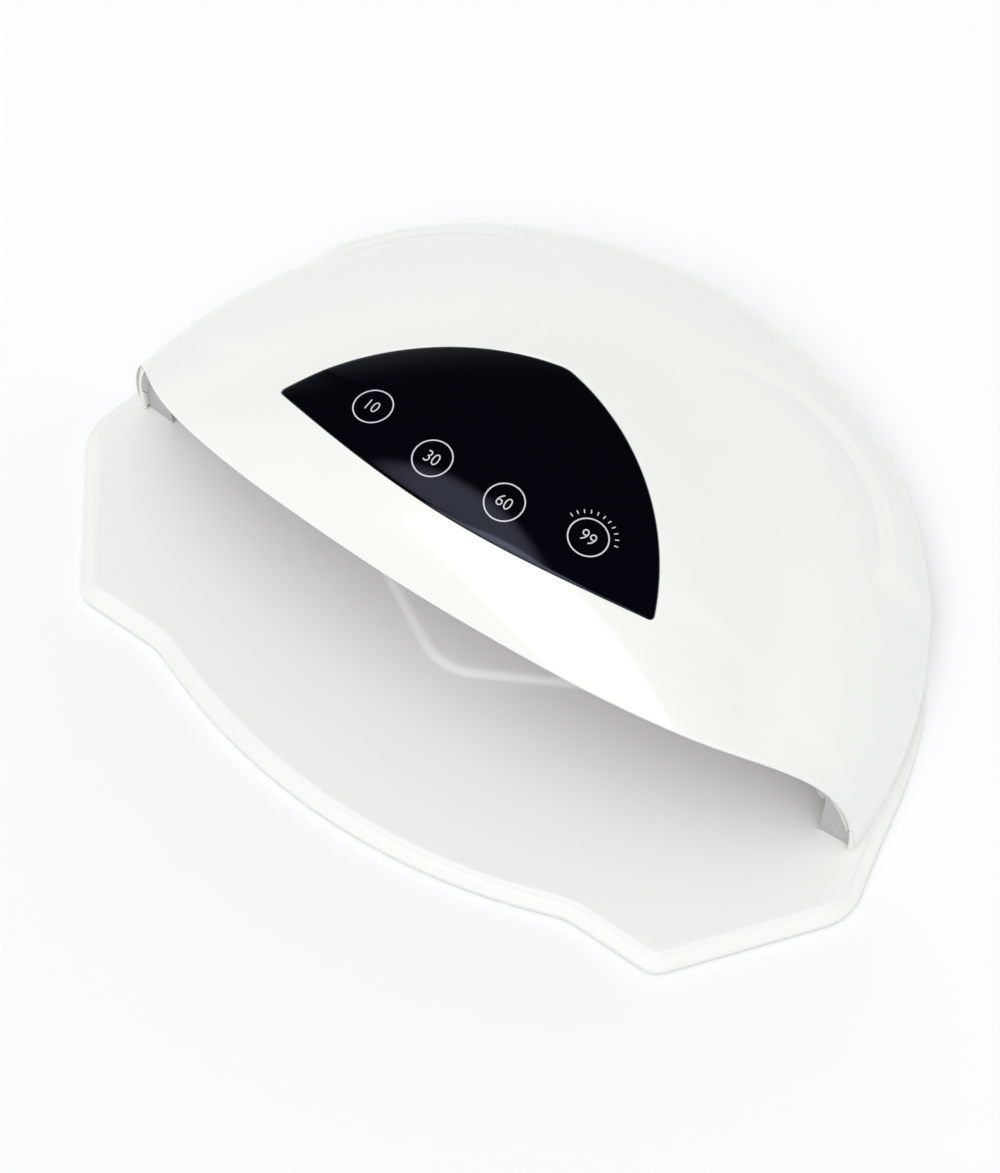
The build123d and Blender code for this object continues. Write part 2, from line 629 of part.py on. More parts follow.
# Power electronics at the back
driver_top = DRIVER_BOARD_Z + BOARD_THICKNESS
parts["driver_board"] = block(
    (-DRIVER_BOARD_HALF, DRIVER_BOARD_HALF),
    (DRIVER_BOARD_FRONT_Y, DRIVER_BOARD_REAR_Y),
    (DRIVER_BOARD_Z, driver_top),
)
coil = upright(-20, 87, driver_top, driver_top + 7, 6.0)
parts["driver_components"] = [
    coil - upright(-20, 87, driver_top + 1, driver_top + 8, 2.0),
    upright(-6, 88, driver_top, driver_top + 11, 4.0),
    upright(5, 88, driver_top, driver_top + 11, 4.0),
    block((13, 27), (83, 91), (driver_top, driver_top + 3)),
]
half_x = JACK_BODY[0] / 2
jack_z = (JACK_Z - JACK_BODY[2] / 2, JACK_Z + JACK_BODY[2] / 2)
jack = block((-half_x, half_x), (JACK_FRONT_Y, JACK_REAR_Y), jack_z)
nose_end = REAR_Y - JACK_SINK
nose_length = nose_end - JACK_REAR_Y
nose = Pos(0, JACK_REAR_Y + nose_length / 2, JACK_Z) * Rot(90, 0, 0)
jack = jack + nose * Cylinder(JACK_HOLE_RADIUS - 0.1, nose_length)
bore = Pos(0, nose_end - JACK_DEPTH / 2, JACK_Z) * Rot(90, 0, 0)
jack = jack - bore * Cylinder(JACK_BORE_RADIUS, JACK_DEPTH)
parts["dc_jack_body"] = jack
pin_length = JACK_DEPTH - 1.0
parts["dc_jack_pin"] = (
    Pos(0, nose_end - JACK_DEPTH + pin_length / 2, JACK_Z) * Rot(90, 0, 0) * Cylinder(JACK_PIN_RADIUS, pin_length)
)

os.makedirs("parts", exist_ok=True)
for name, piece in parts.items():
    if isinstance(piece, list):
        solids = [solid for item in piece for solid in item.solids()]
        piece = Compound(children=solids)
    piece.label = name
    export_step(piece, "parts/" + name + ".step")
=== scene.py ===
# LED nail lamp for two hands: the looks of its domed head, touch panel, hand chamber and base tray.
# Shapes are worked out in millimetres in the frame of the part, then turned to metres.

import json
import logging
import math
from dataclasses import dataclass
from enum import Enum
from typing import Any, Callable, Iterable, Sequence

import bmesh
import bpy
import numpy as np
from mathutils import Matrix, Vector
from mathutils.geometry import delaunay_2d_cdt

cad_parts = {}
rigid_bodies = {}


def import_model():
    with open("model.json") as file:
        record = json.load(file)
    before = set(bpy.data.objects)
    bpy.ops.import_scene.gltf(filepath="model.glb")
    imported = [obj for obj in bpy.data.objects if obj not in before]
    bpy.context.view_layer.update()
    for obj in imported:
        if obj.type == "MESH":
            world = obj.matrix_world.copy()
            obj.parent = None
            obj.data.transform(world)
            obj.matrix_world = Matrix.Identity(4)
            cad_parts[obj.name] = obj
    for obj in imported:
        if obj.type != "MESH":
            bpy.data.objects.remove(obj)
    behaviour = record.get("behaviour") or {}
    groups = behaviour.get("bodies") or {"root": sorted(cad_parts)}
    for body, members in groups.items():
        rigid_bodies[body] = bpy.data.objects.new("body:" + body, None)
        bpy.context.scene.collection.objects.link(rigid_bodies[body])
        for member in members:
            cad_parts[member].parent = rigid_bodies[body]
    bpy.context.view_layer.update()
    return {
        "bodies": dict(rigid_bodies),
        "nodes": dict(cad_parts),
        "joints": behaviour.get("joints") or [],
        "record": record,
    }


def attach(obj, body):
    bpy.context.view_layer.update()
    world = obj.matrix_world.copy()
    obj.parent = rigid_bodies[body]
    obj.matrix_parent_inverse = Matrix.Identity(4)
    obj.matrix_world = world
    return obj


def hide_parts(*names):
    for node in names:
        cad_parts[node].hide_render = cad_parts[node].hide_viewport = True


Array = np.ndarray
# A point in plan, two numbers that belong together, and three
Point = tuple[float, float]
Pair = tuple[float, float]
Triple = tuple[float, float, float]
LOG = logging.getLogger("nail_lamp")
MM = 0.001
# Points nearer than the first are welded, and edges shorter than the second go, both in metres
WELD = 2e-6
SLIVER = 1e-7
# How exactly the edges of a filled area meet, in millimetres
FILL_GAP = 1e-6
# Shortest length that a row is taken to have when it is scaled to length one
TINY = 1e-12


class Body(Enum):
    """The bodies that the pieces ride on."""

    BASE = "base"
    HEAD = "lamp_head"


class Shading(Enum):
    """How the faces of a piece are shaded."""

    SMOOTH = "smooth"
    BY_ANGLE = "by_angle"


# Materials


def linear(code: str) -> tuple[float, float, float, float]:
    """Turns an sRGB hex colour into linear values.

    Args:
        code: colour such as "#F4F5F1".

    Returns:
        Linear red, green, blue and a full alpha.
    """
    values = [int(code[i : i + 2], 16) / 255 for i in (1, 3, 5)]
    red, green, blue = (v / 12.92 if v <= 0.04045 else ((v + 0.055) / 1.055) ** 2.4 for v in values)
    return red, green, blue, 1.0


def add_node(
    tree: bpy.types.NodeTree, kind: str, settings: dict[str, Any] | None = None, **inputs: Any
) -> bpy.types.Node:
    """Adds one node with its settings, socket values and links.

    Args:
        tree: node tree that takes the node.
        kind: Blender's name of the node type.
        settings: properties of the node itself.
        inputs: socket name with spaces as underscores, or i and the socket's number, to a value
            or an output socket.

    Returns:
        The new node.
    """
    node = tree.nodes.new(kind)
    for key, value in (settings or {}).items():
        setattr(node, key, value)
    for key, value in inputs.items():
        name = key.replace("_", " ")
        socket = node.inputs[int(key[1:])] if key[0] == "i" and key[1:].isdigit() else node.inputs[name]
        if isinstance(value, bpy.types.NodeSocket):
            tree.links.new(value, socket)
        else:
            socket.default_value = value
    return node


@dataclass(frozen=True)
class Finish:
    """One real material with its surface, as Blender nodes.

    The roughness wanders a little round its value over grains of a real size, and the same grains
    give a shallow relief, which is what the eye reads as a moulded, plated or printed surface.
    """

    name: str
    colour: str
    roughness: float
    ior: float = 1.5
    metallic: float = 0.0
    grain_mm: float = 1.0
    relief_mm: float = 0.0
    spread: float = 0.05
    tint: str = ""
    transmission: float = 0.0
    subsurface_mm: float = 0.0
    gloss_tint: str = "#FFFFFF"
    grain_detail: float = 3.0
    grain_range: Pair = (0.25, 0.75)
    least_roughness: float = 0.02
    wax_share: float = 0.15
    wax_spread: Triple = (1.0, 0.95, 0.9)

    def build(self) -> bpy.types.Material:
        """Makes the material, or returns it if it is there already.

        Returns:
            The Blender material.
        """
        made = bpy.data.materials.get(self.name)
        if made is not None:
            return made
        made = bpy.data.materials.new(self.name)
        made.use_nodes = True
        tree = made.node_tree
        tree.nodes.clear()
        where = add_node(tree, "ShaderNodeTexCoord")
        grain = add_node(
            tree,
            "ShaderNodeTexNoise",
            Vector=where.outputs["Object"],
            Scale=1 / (self.grain_mm * MM),
            Detail=self.grain_detail,
        )
        rough = add_node(
            tree,
            "ShaderNodeMapRange",
            Value=grain.outputs["Fac"],
            From_Min=self.grain_range[0],
            From_Max=self.grain_range[1],
            To_Min=max(self.least_roughness, self.roughness - self.spread),
            To_Max=self.roughness + self.spread,
        )
        shader = add_node(
            tree,
            "ShaderNodeBsdfPrincipled",
            Base_Color=linear(self.colour),
            Metallic=self.metallic,
            Roughness=rough.outputs["Result"],
        )
        if not self.metallic:
            shader.inputs["IOR"].default_value = self.ior
        shader.inputs["Specular Tint"].default_value = linear(self.gloss_tint)
        shader.inputs["Transmission Weight"].default_value = self.transmission
        if self.subsurface_mm > 0:
            shader.inputs["Subsurface Weight"].default_value = self.wax_share
            shader.inputs["Subsurface Radius"].default_value = self.wax_spread
            shader.inputs["Subsurface Scale"].default_value = self.subsurface_mm * MM
        if self.tint:
            shade = add_node(
                tree,
                "ShaderNodeMix",
                {"data_type": "RGBA"},
                i0=grain.outputs["Fac"],
                i6=linear(self.colour),
                i7=linear(self.tint),
            )
            tree.links.new(shade.outputs[2], shader.inputs["Base Color"])
        if self.relief_mm > 0:
            relief = add_node(
                tree,
                "ShaderNodeBump",
                Strength=1.0,
                Distance=self.relief_mm * MM,
                Height=grain.outputs["Fac"],
            )
            tree.links.new(relief.outputs["Normal"], shader.inputs["Normal"])
        add_node(tree, "ShaderNodeOutputMaterial", Surface=shader.outputs["BSDF"])
        return made


# ABS moulded in a polished tool: a clean gloss with the faint waviness of a cooled shell
GLOSS_ABS = Finish(
    "abs_gloss_moulded", "#F3F4EF", 0.13, ior=1.53, grain_mm=9.0, relief_mm=0.01, spread=0.02, tint="#F5F6F2"
)
# ABS moulded in a finely etched tool: soft highlights and almost no mirror
SATIN_ABS = Finish(
    "abs_satin_moulded", "#F2F2EF", 0.42, ior=1.53, grain_mm=0.35, relief_mm=0.004, tint="#F4F4F1"
)
# Polished acrylic with black print behind it: deep black under a sharp, slightly blue reflection
BLACK_ACRYLIC = Finish(
    "acrylic_black_polished",
    "#04050B",
    0.06,
    ior=1.49,
    grain_mm=12.0,
    relief_mm=0.002,
    spread=0.02,
    gloss_tint="#D2D8FF",
)
# Screen-printed ink: flat and a little rough, with the edge of the mesh
WHITE_INK = Finish("ink_white_screen_printed", "#D9DCE0", 0.5, grain_mm=0.2, tint="#CDD1D6")
# Polycarbonate loaded with silver-grey pigment: satin, with a metallic haze from the flakes
GREY_PC = Finish(
    "polycarbonate_silver_grey", "#B9B7BA", 0.3, ior=1.58, grain_mm=0.4, relief_mm=0.002, tint="#C1BFC2"
)
# Clear acrylic, injection moulded: bright edges and a faint wave from the gate
CLEAR_ACRYLIC = Finish(
    "acrylic_clear_moulded", "#F4F2FB", 0.08, ior=1.49, grain_mm=2.0, spread=0.03, transmission=0.85
)
# Silicone rubber pad: dull and dark, dusted by handling
SOFT_RUBBER = Finish("rubber_silicone_pressed", "#56575A", 0.75, ior=1.41, grain_mm=0.3, tint="#606165")
# Steel with a zinc coat: light grey with small bright crystals
ZINC_STEEL = Finish("steel_zinc_plated", "#B4B6B9", 0.36, metallic=1.0, grain_mm=0.3, tint="#A4A7AC")
# Nickel over a sintered magnet: a hard warm mirror with tiny pits
NICKEL_PLATE = Finish("nickel_plated_magnet", "#C9C5BC", 0.2, metallic=1.0, grain_mm=0.25, relief_mm=0.004)
# White solder mask over glass laminate: thin lacquer with the weave just under it
SOLDER_MASK = Finish("laminate_white_solder_mask", "#E8E8E2", 0.38, ior=1.55, grain_mm=0.5, tint="#E2E3DD")
# Silicone resin filled with phosphor: a dull egg yellow
PHOSPHOR_RESIN = Finish("resin_phosphor_cast", "#E9D27A", 0.45, ior=1.41, grain_mm=0.15, tint="#E0C563")
# Infrared filter plastic: black with a smooth window
FILTER_PLASTIC = Finish("polycarbonate_ir_filter", "#121015", 0.12, ior=1.58, grain_mm=1.0, spread=0.03)
# Bare spring wire: drawn along its length, greyish and bright
SPRING_WIRE = Finish("steel_spring_drawn", "#AEB0B2", 0.3, metallic=1.0, grain_mm=0.2, tint="#9C9EA1")
# Natural nylon: off-white and waxy
NATURAL_NYLON = Finish(
    "nylon_natural_moulded", "#E4E0D3", 0.45, ior=1.53, grain_mm=0.4, subsurface_mm=0.6, tint="#DDD8C9"
)
# Mould compound round components: charcoal with a fine eroded grain
MOULD_COMPOUND = Finish(
    "epoxy_mould_compound", "#232326", 0.6, ior=1.55, grain_mm=0.2, relief_mm=0.006, tint="#2B2B2E"
)
# Black PBT of the inlet: satin, a touch of grain from the tool
BLACK_PBT = Finish(
    "pbt_black_moulded", "#151517", 0.45, ior=1.55, grain_mm=0.3, relief_mm=0.004, tint="#1B1B1D"
)
# Contact of plated brass: pale gold mirror
PLATED_CONTACT = Finish("brass_nickel_plated", "#CFC8B4", 0.18, metallic=1.0, grain_mm=0.2, tint="#C4BCA6")


# Curves in plan


def spline_through(points: Sequence[Point], density: int = 60) -> Array:
    """Draws a smooth cubic line through points.

    Args:
        points: plan points in order.
        density: samples on each span.

    Returns:
        Sampled points, one row each.
    """
    knots = np.array(points, float)
    steps = np.linalg.norm(np.diff(knots, axis=0), axis=1)
    count = len(knots)
    matrix = np.zeros((count, count))
    right = np.zeros((count, knots.shape[1]))
    matrix[0, 0] = matrix[-1, -1] = 1
    for i in range(1, count - 1):
        matrix[i, i - 1 : i + 2] = steps[i - 1], 2 * (steps[i - 1] + steps[i]), steps[i]
        right[i] = 6 * ((knots[i + 1] - knots[i]) / steps[i] - (knots[i] - knots[i - 1]) / steps[i - 1])
    bend = np.linalg.solve(matrix, right)
    rows = []
    for i in range(count - 1):
        share = np.linspace(0, 1, density, endpoint=i == count - 2)[:, None]
        low, high, width = 1 - share, share, steps[i]
        curved = (low**3 - low) * bend[i] + (high**3 - high) * bend[i + 1]
        rows.append(low * knots[i] + high * knots[i + 1] + width**2 / 6 * curved)
    return np.concatenate(rows)


def mirrored(half: Sequence[Point]) -> list[Point]:
    """Returns the left mirror image of a half list, then the half list."""
    return [(-x, y) for x, y in reversed(half) if x > 0] + list(half)


def along(line: Array, shares: Array) -> Array:
    """Finds the points of a line at shares of its length.

    Args:
        line: points in order.
        shares: from 0 at the line's start to 1 at its end.

    Returns:
        The points.
    """
    run = np.concatenate([[0], np.cumsum(np.linalg.norm(np.diff(line, axis=0), axis=1))])
    return np.stack([np.interp(shares * run[-1], run, line[:, k]) for k in range(line.shape[1])], axis=1)


def resample(line: Array, count: int) -> Array:
    """Spaces a number of points evenly along a line, ends included."""
    return along(line, np.linspace(0, 1, count))


def on_circle(angles: Array) -> Array:
    """Plan points of a circle of radius one at angles."""
    return np.stack([np.cos(angles), np.sin(angles)], axis=1)


def at_height(plan: Array, height: float | Array) -> Array:
    """Gives plan points their Z."""
    return np.concatenate([plan, np.broadcast_to(height, plan.shape[:-1])[..., None]], axis=-1)


def left_of(ways: Array) -> Array:
    """Plan directions a quarter turn to the left of others."""
    return np.stack([-ways[..., 1], ways[..., 0]], axis=-1)


def unit(rows: Array) -> Array:
    """Scales each row to length one."""
    return rows / np.maximum(TINY, np.linalg.norm(rows, axis=-1, keepdims=True))


def circle_through(a: Point, b: Point, c: Point) -> tuple[Array, float]:
    """Finds the circle through three points.

    Args:
        a: first point.
        b: second point.
        c: third point.

    Returns:
        Centre and radius.
    """
    pa, pb, pc = (np.array(p, float) for p in (a, b, c))
    matrix = 2 * np.array([pb - pa, pc - pa])
    centre = np.linalg.solve(matrix, np.array([pb @ pb - pa @ pa, pc @ pc - pa @ pa]))
    return centre, float(np.linalg.norm(pa - centre))


def arc(centre: Array, radius: float, start: Array, end: Array, count: int) -> Array:
    """Samples the shorter arc between two points on a circle.

    Args:
        centre: centre of the circle.
        radius: its radius.
        start: point in the direction where the arc starts.
        end: point in the direction where it ends.
        count: number of samples.

    Returns:
        The points.
    """
    first = math.atan2(*(start - centre)[::-1])
    last = math.atan2(*(end - centre)[::-1])
    turn = (last - first + math.pi) % (2 * math.pi) - math.pi
    return centre + radius * on_circle(first + turn * np.linspace(0, 1, count))


def rounded_polygon(corners: Sequence[Triple], steps: int) -> Array:
    """Rounds the corners of a closed polygon.

    Args:
        corners: x, y and radius of each corner, in order.
        steps: samples on each rounding.

    Returns:
        The closed outline's points without a repeat of the first.
    """
    rows: list[Array] = []
    count = len(corners)
    for i, (x, y, radius) in enumerate(corners):
        here = np.array([x, y])
        if radius <= 0:
            rows.append(here[None])
            continue
        before = unit(np.array(corners[i - 1][:2]) - here)
        after = unit(np.array(corners[(i + 1) % count][:2]) - here)
        half = math.acos(float(np.clip(before @ after, -1, 1))) / 2
        reach = radius / math.tan(half)
        middle = unit(before + after) * radius / math.sin(half)
        rows.append(arc(here + middle, radius, here + before * reach, here + after * reach, steps))
    return np.concatenate(rows)


def inset_loop(loop: Array, distance: float, bluntness: float = 0.5) -> Array:
    """Moves a closed outline inwards along its normals.

    Args:
        loop: points, anticlockwise.
        distance: how far inwards.
        bluntness: the larger, the less far a sharp corner runs in.

    Returns:
        The moved points.
    """
    ahead, behind = np.roll(loop, -1, axis=0) - loop, loop - np.roll(loop, 1, axis=0)
    first, second = left_of(unit(behind)), left_of(unit(ahead))
    middle = first + second
    return loop + distance * middle / np.maximum(bluntness, (middle * first).sum(axis=1))[:, None]


def inside(point: Array, loop: Array) -> bool:
    """Tests whether a plan point lies in a closed outline.

    Args:
        point: x and y.
        loop: the outline's points.

    Returns:
        True if it lies inside.
    """
    x, y = point
    ahead = np.roll(loop, -1, axis=0)
    crosses = (loop[:, 1] > y) != (ahead[:, 1] > y)
    with np.errstate(divide="ignore", invalid="ignore"):
        at = loop[:, 0] + (y - loop[:, 1]) / (ahead[:, 1] - loop[:, 1]) * (ahead[:, 0] - loop[:, 0])
    return bool(np.count_nonzero(crosses & (x < at)) % 2)


def smoothstep(value: Array) -> Array:
    """Rises smoothly from 0 to 1."""
    t = np.clip(value, 0, 1)
    return t * t * (3 - 2 * t)


def close_mirror(half: Array) -> Array:
    """Closes a half line that starts and ends on X = 0 with its mirror image.

    Args:
        half: points or directions from the front middle to the rear middle along +X.

    Returns:
        All the way round, anticlockwise from the front middle.
    """
    back = half[1:-1][::-1].copy()
    back[:, 0] *= -1
    return np.concatenate([half, back])


# Meshes


def put_in_scene(name: str, data: bpy.types.ID) -> bpy.types.Object:
    """Makes an object and links it to the scene.

    Args:
        name: name of the object.
        data: its mesh, lettering, lamp or camera.

    Returns:
        The object.
    """
    made = bpy.data.objects.new(name, data)
    bpy.context.scene.collection.objects.link(made)
    return made


class Draft:
    """A mesh in the making: points in millimetres and faces, welded when it is done."""

    def __init__(self) -> None:
        """Starts with nothing drawn."""
        self.points: list[Array] = []
        self.faces: list[tuple[int, ...]] = []
        self.flat: list[bool] = []
        self.count = 0

    def add(self, points: Array, faces: Iterable[Sequence[int]], flat: bool = False) -> None:
        """Adds points and the faces between them.

        Args:
            points: rows of x, y, z.
            faces: corner numbers within these points.
            flat: shade these faces flat.
        """
        base = self.count
        self.points.append(np.asarray(points, float).reshape(-1, 3))
        self.count += len(self.points[-1])
        for face in faces:
            self.faces.append(tuple(base + k for k in face))
            self.flat.append(flat)

    def grid(self, rows: Array, closed: bool = True, flip: bool = False) -> None:
        """Adds a sheet of quads.

        Args:
            rows: array of rows by columns by 3.
            closed: the last column joins the first.
            flip: turn the faces over.
        """
        high, wide = rows.shape[:2]
        faces = []
        for j in range(high - 1):
            for i in range(wide if closed else wide - 1):
                k = (i + 1) % wide
                face = (j * wide + i, j * wide + k, (j + 1) * wide + k, (j + 1) * wide + i)
                faces.append(face[::-1] if flip else face)
        self.add(rows, faces)

    def fill(self, loops: Sequence[Array], height: float, flip: bool = False) -> None:
        """Fills a flat area between an outline and the holes in it.

        Args:
            loops: outer outline first, then holes, as plan points.
            height: Z of the area.
            flip: turn the faces down.
        """
        edges: list[tuple[int, int]] = []
        flat: list[Vector] = []
        for loop in loops:
            first = len(flat)
            flat.extend(Vector(p) for p in loop[:, :2])
            edges.extend((first + i, first + (i + 1) % len(loop)) for i in range(len(loop)))
        made = delaunay_2d_cdt(flat, edges, [], 1, FILL_GAP)
        points = at_height(np.array([tuple(p) for p in made[0]]), height)
        holes = [np.array(loop[:, :2]) for loop in loops[1:]]
        faces = []
        for face in made[2]:
            middle = points[list(face), :2].mean(axis=0)
            if any(inside(middle, hole) for hole in holes):
                continue
            faces.append(tuple(face)[::-1] if flip else tuple(face))
        self.add(points, faces, flat=True)

    def build(self, name: str, finish: Finish, shading: Shading = Shading.SMOOTH) -> bpy.types.Object:
        """Welds the mesh and puts it in the scene.

        Args:
            name: name of the piece.
            finish: its material.
            shading: smooth, or smooth up to an angle.

        Returns:
            The new object.
        """
        mesh = bpy.data.meshes.new(name)
        mesh.from_pydata((np.concatenate(self.points) * MM).tolist(), [], self.faces)
        mesh.polygons.foreach_set("use_smooth", [not f for f in self.flat])
        work = bmesh.new()
        work.from_mesh(mesh)
        bmesh.ops.remove_doubles(work, verts=work.verts, dist=WELD)
        bmesh.ops.dissolve_degenerate(work, edges=work.edges, dist=SLIVER)
        work.to_mesh(mesh)
        work.free()
        mesh.validate()
        if shading is Shading.BY_ANGLE:
            sharpen(mesh)
        mesh.materials.append(finish.build())
        return put_in_scene(name, mesh)


def sharpen(mesh: bpy.types.Mesh, limit: float = 35.0) -> None:
    """Marks the edges that turn by more than a limit as sharp.

    Args:
        mesh: mesh to mark.
        limit: greatest turn of a smooth edge, in degrees.
    """
    work = bmesh.new()
    work.from_mesh(mesh)
    for edge in work.edges:
        edge.smooth = len(edge.link_faces) == 2 and edge.calc_face_angle(0.0) < math.radians(limit)
    work.to_mesh(mesh)
    work.free()


def cut_away(piece: bpy.types.Object, cutters: Sequence[bpy.types.Object]) -> None:
    """Cuts closed shapes out of a closed piece, then removes the shapes.

    Args:
        piece: what is cut.
        cutters: the shapes.
    """
    for cutter in cutters:
        change = piece.modifiers.new("opening", "BOOLEAN")
        change.operation = "DIFFERENCE"
        change.solver = "MANIFOLD"
        change.object = cutter
    bpy.context.view_layer.update()
    before = piece.data
    ready = piece.evaluated_get(bpy.context.evaluated_depsgraph_get())
    piece.data = bpy.data.meshes.new_from_object(ready)
    piece.modifiers.clear()
    piece.data.name = before.name
    LOG.info("cut %s: %d faces, then %d", piece.name, len(before.polygons), len(piece.data.polygons))
    bpy.data.meshes.remove(before)
    for cutter in cutters:
        bpy.data.objects.remove(cutter)


def place(piece: bpy.types.Object, body: Body, slot: str, *nodes: str) -> bpy.types.Object:
    """Ties a piece to its body and hides the CAD nodes that it stands for.

    Args:
        piece: the object.
        body: what it rides on.
        slot: the record's material slot; not used.
        nodes: CAD nodes that it replaces.

    Returns:
        The piece.
    """
    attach(piece, body.value)
    if nodes:
        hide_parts(*nodes)
    LOG.info("piece %s on %s, %d faces", piece.name, body.value, len(piece.data.polygons))
    return piece


# Form of the dome


@dataclass(frozen=True)
class DomeForm:
    """Outer form of the head: the solid's form with its rear flanks and the fender's edges eased.

    Lengths are in millimetres and angles in degrees. An arch across the lamp is a superellipse.
    Its half width, height and power change along the lamp, with a curve of their own in front of
    the centre, towards the lip, and behind it. The rear ends blunt, as the solid does.
    """

    # The arch over the centre, and how far the form runs behind it
    centre_y: float = -27.0
    base_z: float = 6.3
    half_width: float = 141.0
    height: float = 96.4
    rear_length: float = 140.0
    exponent: float = 2.1
    # How the arches drop and square up towards the lip
    lip_depth: float = 43.5
    lip_drop: float = 0.15
    lip_drop_power: float = 2.45
    lip_squaring: float = 0.9
    lip_squaring_power: float = 1.65
    # How they narrow, lower and sharpen towards the rear, and the share that is left at its end
    ridge: float = 0.4
    ridge_span: float = 0.6
    width_fall: float = 2.12
    height_fall: float = 1.85
    blunt_fall: float = 2.0
    blunt_from: float = 0.88
    tip_share: float = 1e-9
    # The fender outside the dome, and where it starts
    swell: float = 1.012
    lean: float = 0.03
    edge_ease: float = 3.0
    fender_start: Point = (103.0, 35.0)
    fender_slant: float = 26.0
    front_ease: float = 12.0
    # The round crease at the fender's inner edge
    crease_centre: Point = (62.0, 25.0)
    crease_radius: float = 46.0
    crease_ease: float = 3.5
    groove: float = 0.5
    groove_width: float = 5.0
    groove_front_ease: float = 20.0
    groove_above: Pair = (2.0, 10.0)
    groove_beside: Pair = (12.0, 14.0)
    # Search for the surface along a direction, and the least that a direction runs in plan
    search_mm: Pair = (5.0, 260.0)
    search_halvings: int = 42
    least_plan: float = 1e-6
    # Step that feels out the surface's slope, and the Z from which a direction counts as upright
    slope_step: float = 2e-3
    upright: float = 0.9
    # Upright wall of the rear, from the middle of the back to the right side
    rear_outline: tuple[Point, ...] = (
        (0.0, 113.0),
        (14.0, 111.8),
        (38.0, 106.8),
        (61.0, 101.3),
        (81.0, 92.5),
        (105.5, 67.5),
        (128.5, 37.0),
        (142.0, 2.0),
    )

    @property
    def origin(self) -> Array:
        """Point from which the form is seen all round."""
        return np.array([0.0, self.centre_y, self.base_z])

    def sections(self, y: Array) -> tuple[Array, Array, Array]:
        """Half width, height and exponent of the arch at places along the lamp.

        Args:
            y: places.

        Returns:
            The three arrays.
        """
        depth = np.clip(self.centre_y - y, 0, None) / self.lip_depth
        share = np.clip((y - self.centre_y) / self.rear_length, 0, 1)
        falls = (self.width_fall, self.height_fall, self.blunt_fall)
        narrowed, lowered, ended = (self.kept(share, fall) for fall in falls)
        blunt = smoothstep((share - self.blunt_from) / (1 - self.blunt_from))
        lowered = lowered * (1 - blunt) + ended * blunt
        tall = self.height * lowered * (1 - self.lip_drop * depth**self.lip_drop_power)
        sharp = self.ridge * (1 - np.clip(1 - share / self.ridge_span, 0, None) ** 2)
        power = self.exponent + self.lip_squaring * depth**self.lip_squaring_power - sharp
        return self.half_width * narrowed, tall, power

    def kept(self, share: Array, fall: float) -> Array:
        """Share of its size that an arch keeps at shares of the way to the rear's end."""
        return np.clip(1 - share**fall, self.tip_share, None) ** (1 / fall)

    def outside(self, points: Array, swell: float = 1.0, lean: float = 0.0) -> Array:
        """Tells how far points lie outside the dome, in its own measure.

        Args:
            points: rows of x, y, z.
            swell: sideways growth of the dome.
            lean: backward sweep of the dome's arches.

        Returns:
            Above 0 outside and below 0 inside.
        """
        x = np.abs(points[..., 0])
        y = points[..., 1] - lean * x
        wide, tall, power = self.sections(y)
        rise = np.clip(points[..., 2] - self.base_z, 0, None)
        past_end = y >= self.centre_y + self.rear_length
        return np.where(past_end, 1.0, (x / (wide * swell)) ** power + (rise / tall) ** power - 1)

    def top(self, plan: Array) -> Array:
        """Height of the dome over plan points.

        Args:
            plan: rows of x and y.

        Returns:
            The Z of each.
        """
        wide, tall, power = self.sections(plan[..., 1])
        rest = np.clip(1 - (np.abs(plan[..., 0]) / wide) ** power, 0, None)
        return self.base_z + tall * rest ** (1 / power)

    def reach(self, ways: Array, swell: float = 1.0, lean: float = 0.0) -> Array:
        """Distance from the origin to the dome along directions.

        Args:
            ways: unit directions.
            swell: sideways growth of the dome.
            lean: backward sweep of the dome's arches.

        Returns:
            The distances.
        """
        low, high = (np.full(ways.shape[:-1], start) for start in self.search_mm)
        for _ in range(self.search_halvings):
            middle = (low + high) / 2
            out = self.outside(self.origin + ways * middle[..., None], swell, lean) > 0
            high = np.where(out, middle, high)
            low = np.where(out, low, middle)
        return (low + high) / 2

    def wall_reach(self, ways: Array) -> Array:
        """Distance from the origin to the upright wall of the rear outline along directions.

        Args:
            ways: unit directions.

        Returns:
            The distances.
        """
        offset = spline_through(mirrored(self.rear_outline)[::-1]) - self.origin[:2]
        angles = np.arctan2(offset[:, 1], np.abs(offset[:, 0]))
        radii = np.linalg.norm(offset, axis=1)
        order = np.argsort(angles)
        flat = np.linalg.norm(ways[..., :2], axis=-1)
        here = np.arctan2(ways[..., 1], np.abs(ways[..., 0]))
        return np.interp(here, angles[order], radii[order]) / np.maximum(flat, self.least_plan)

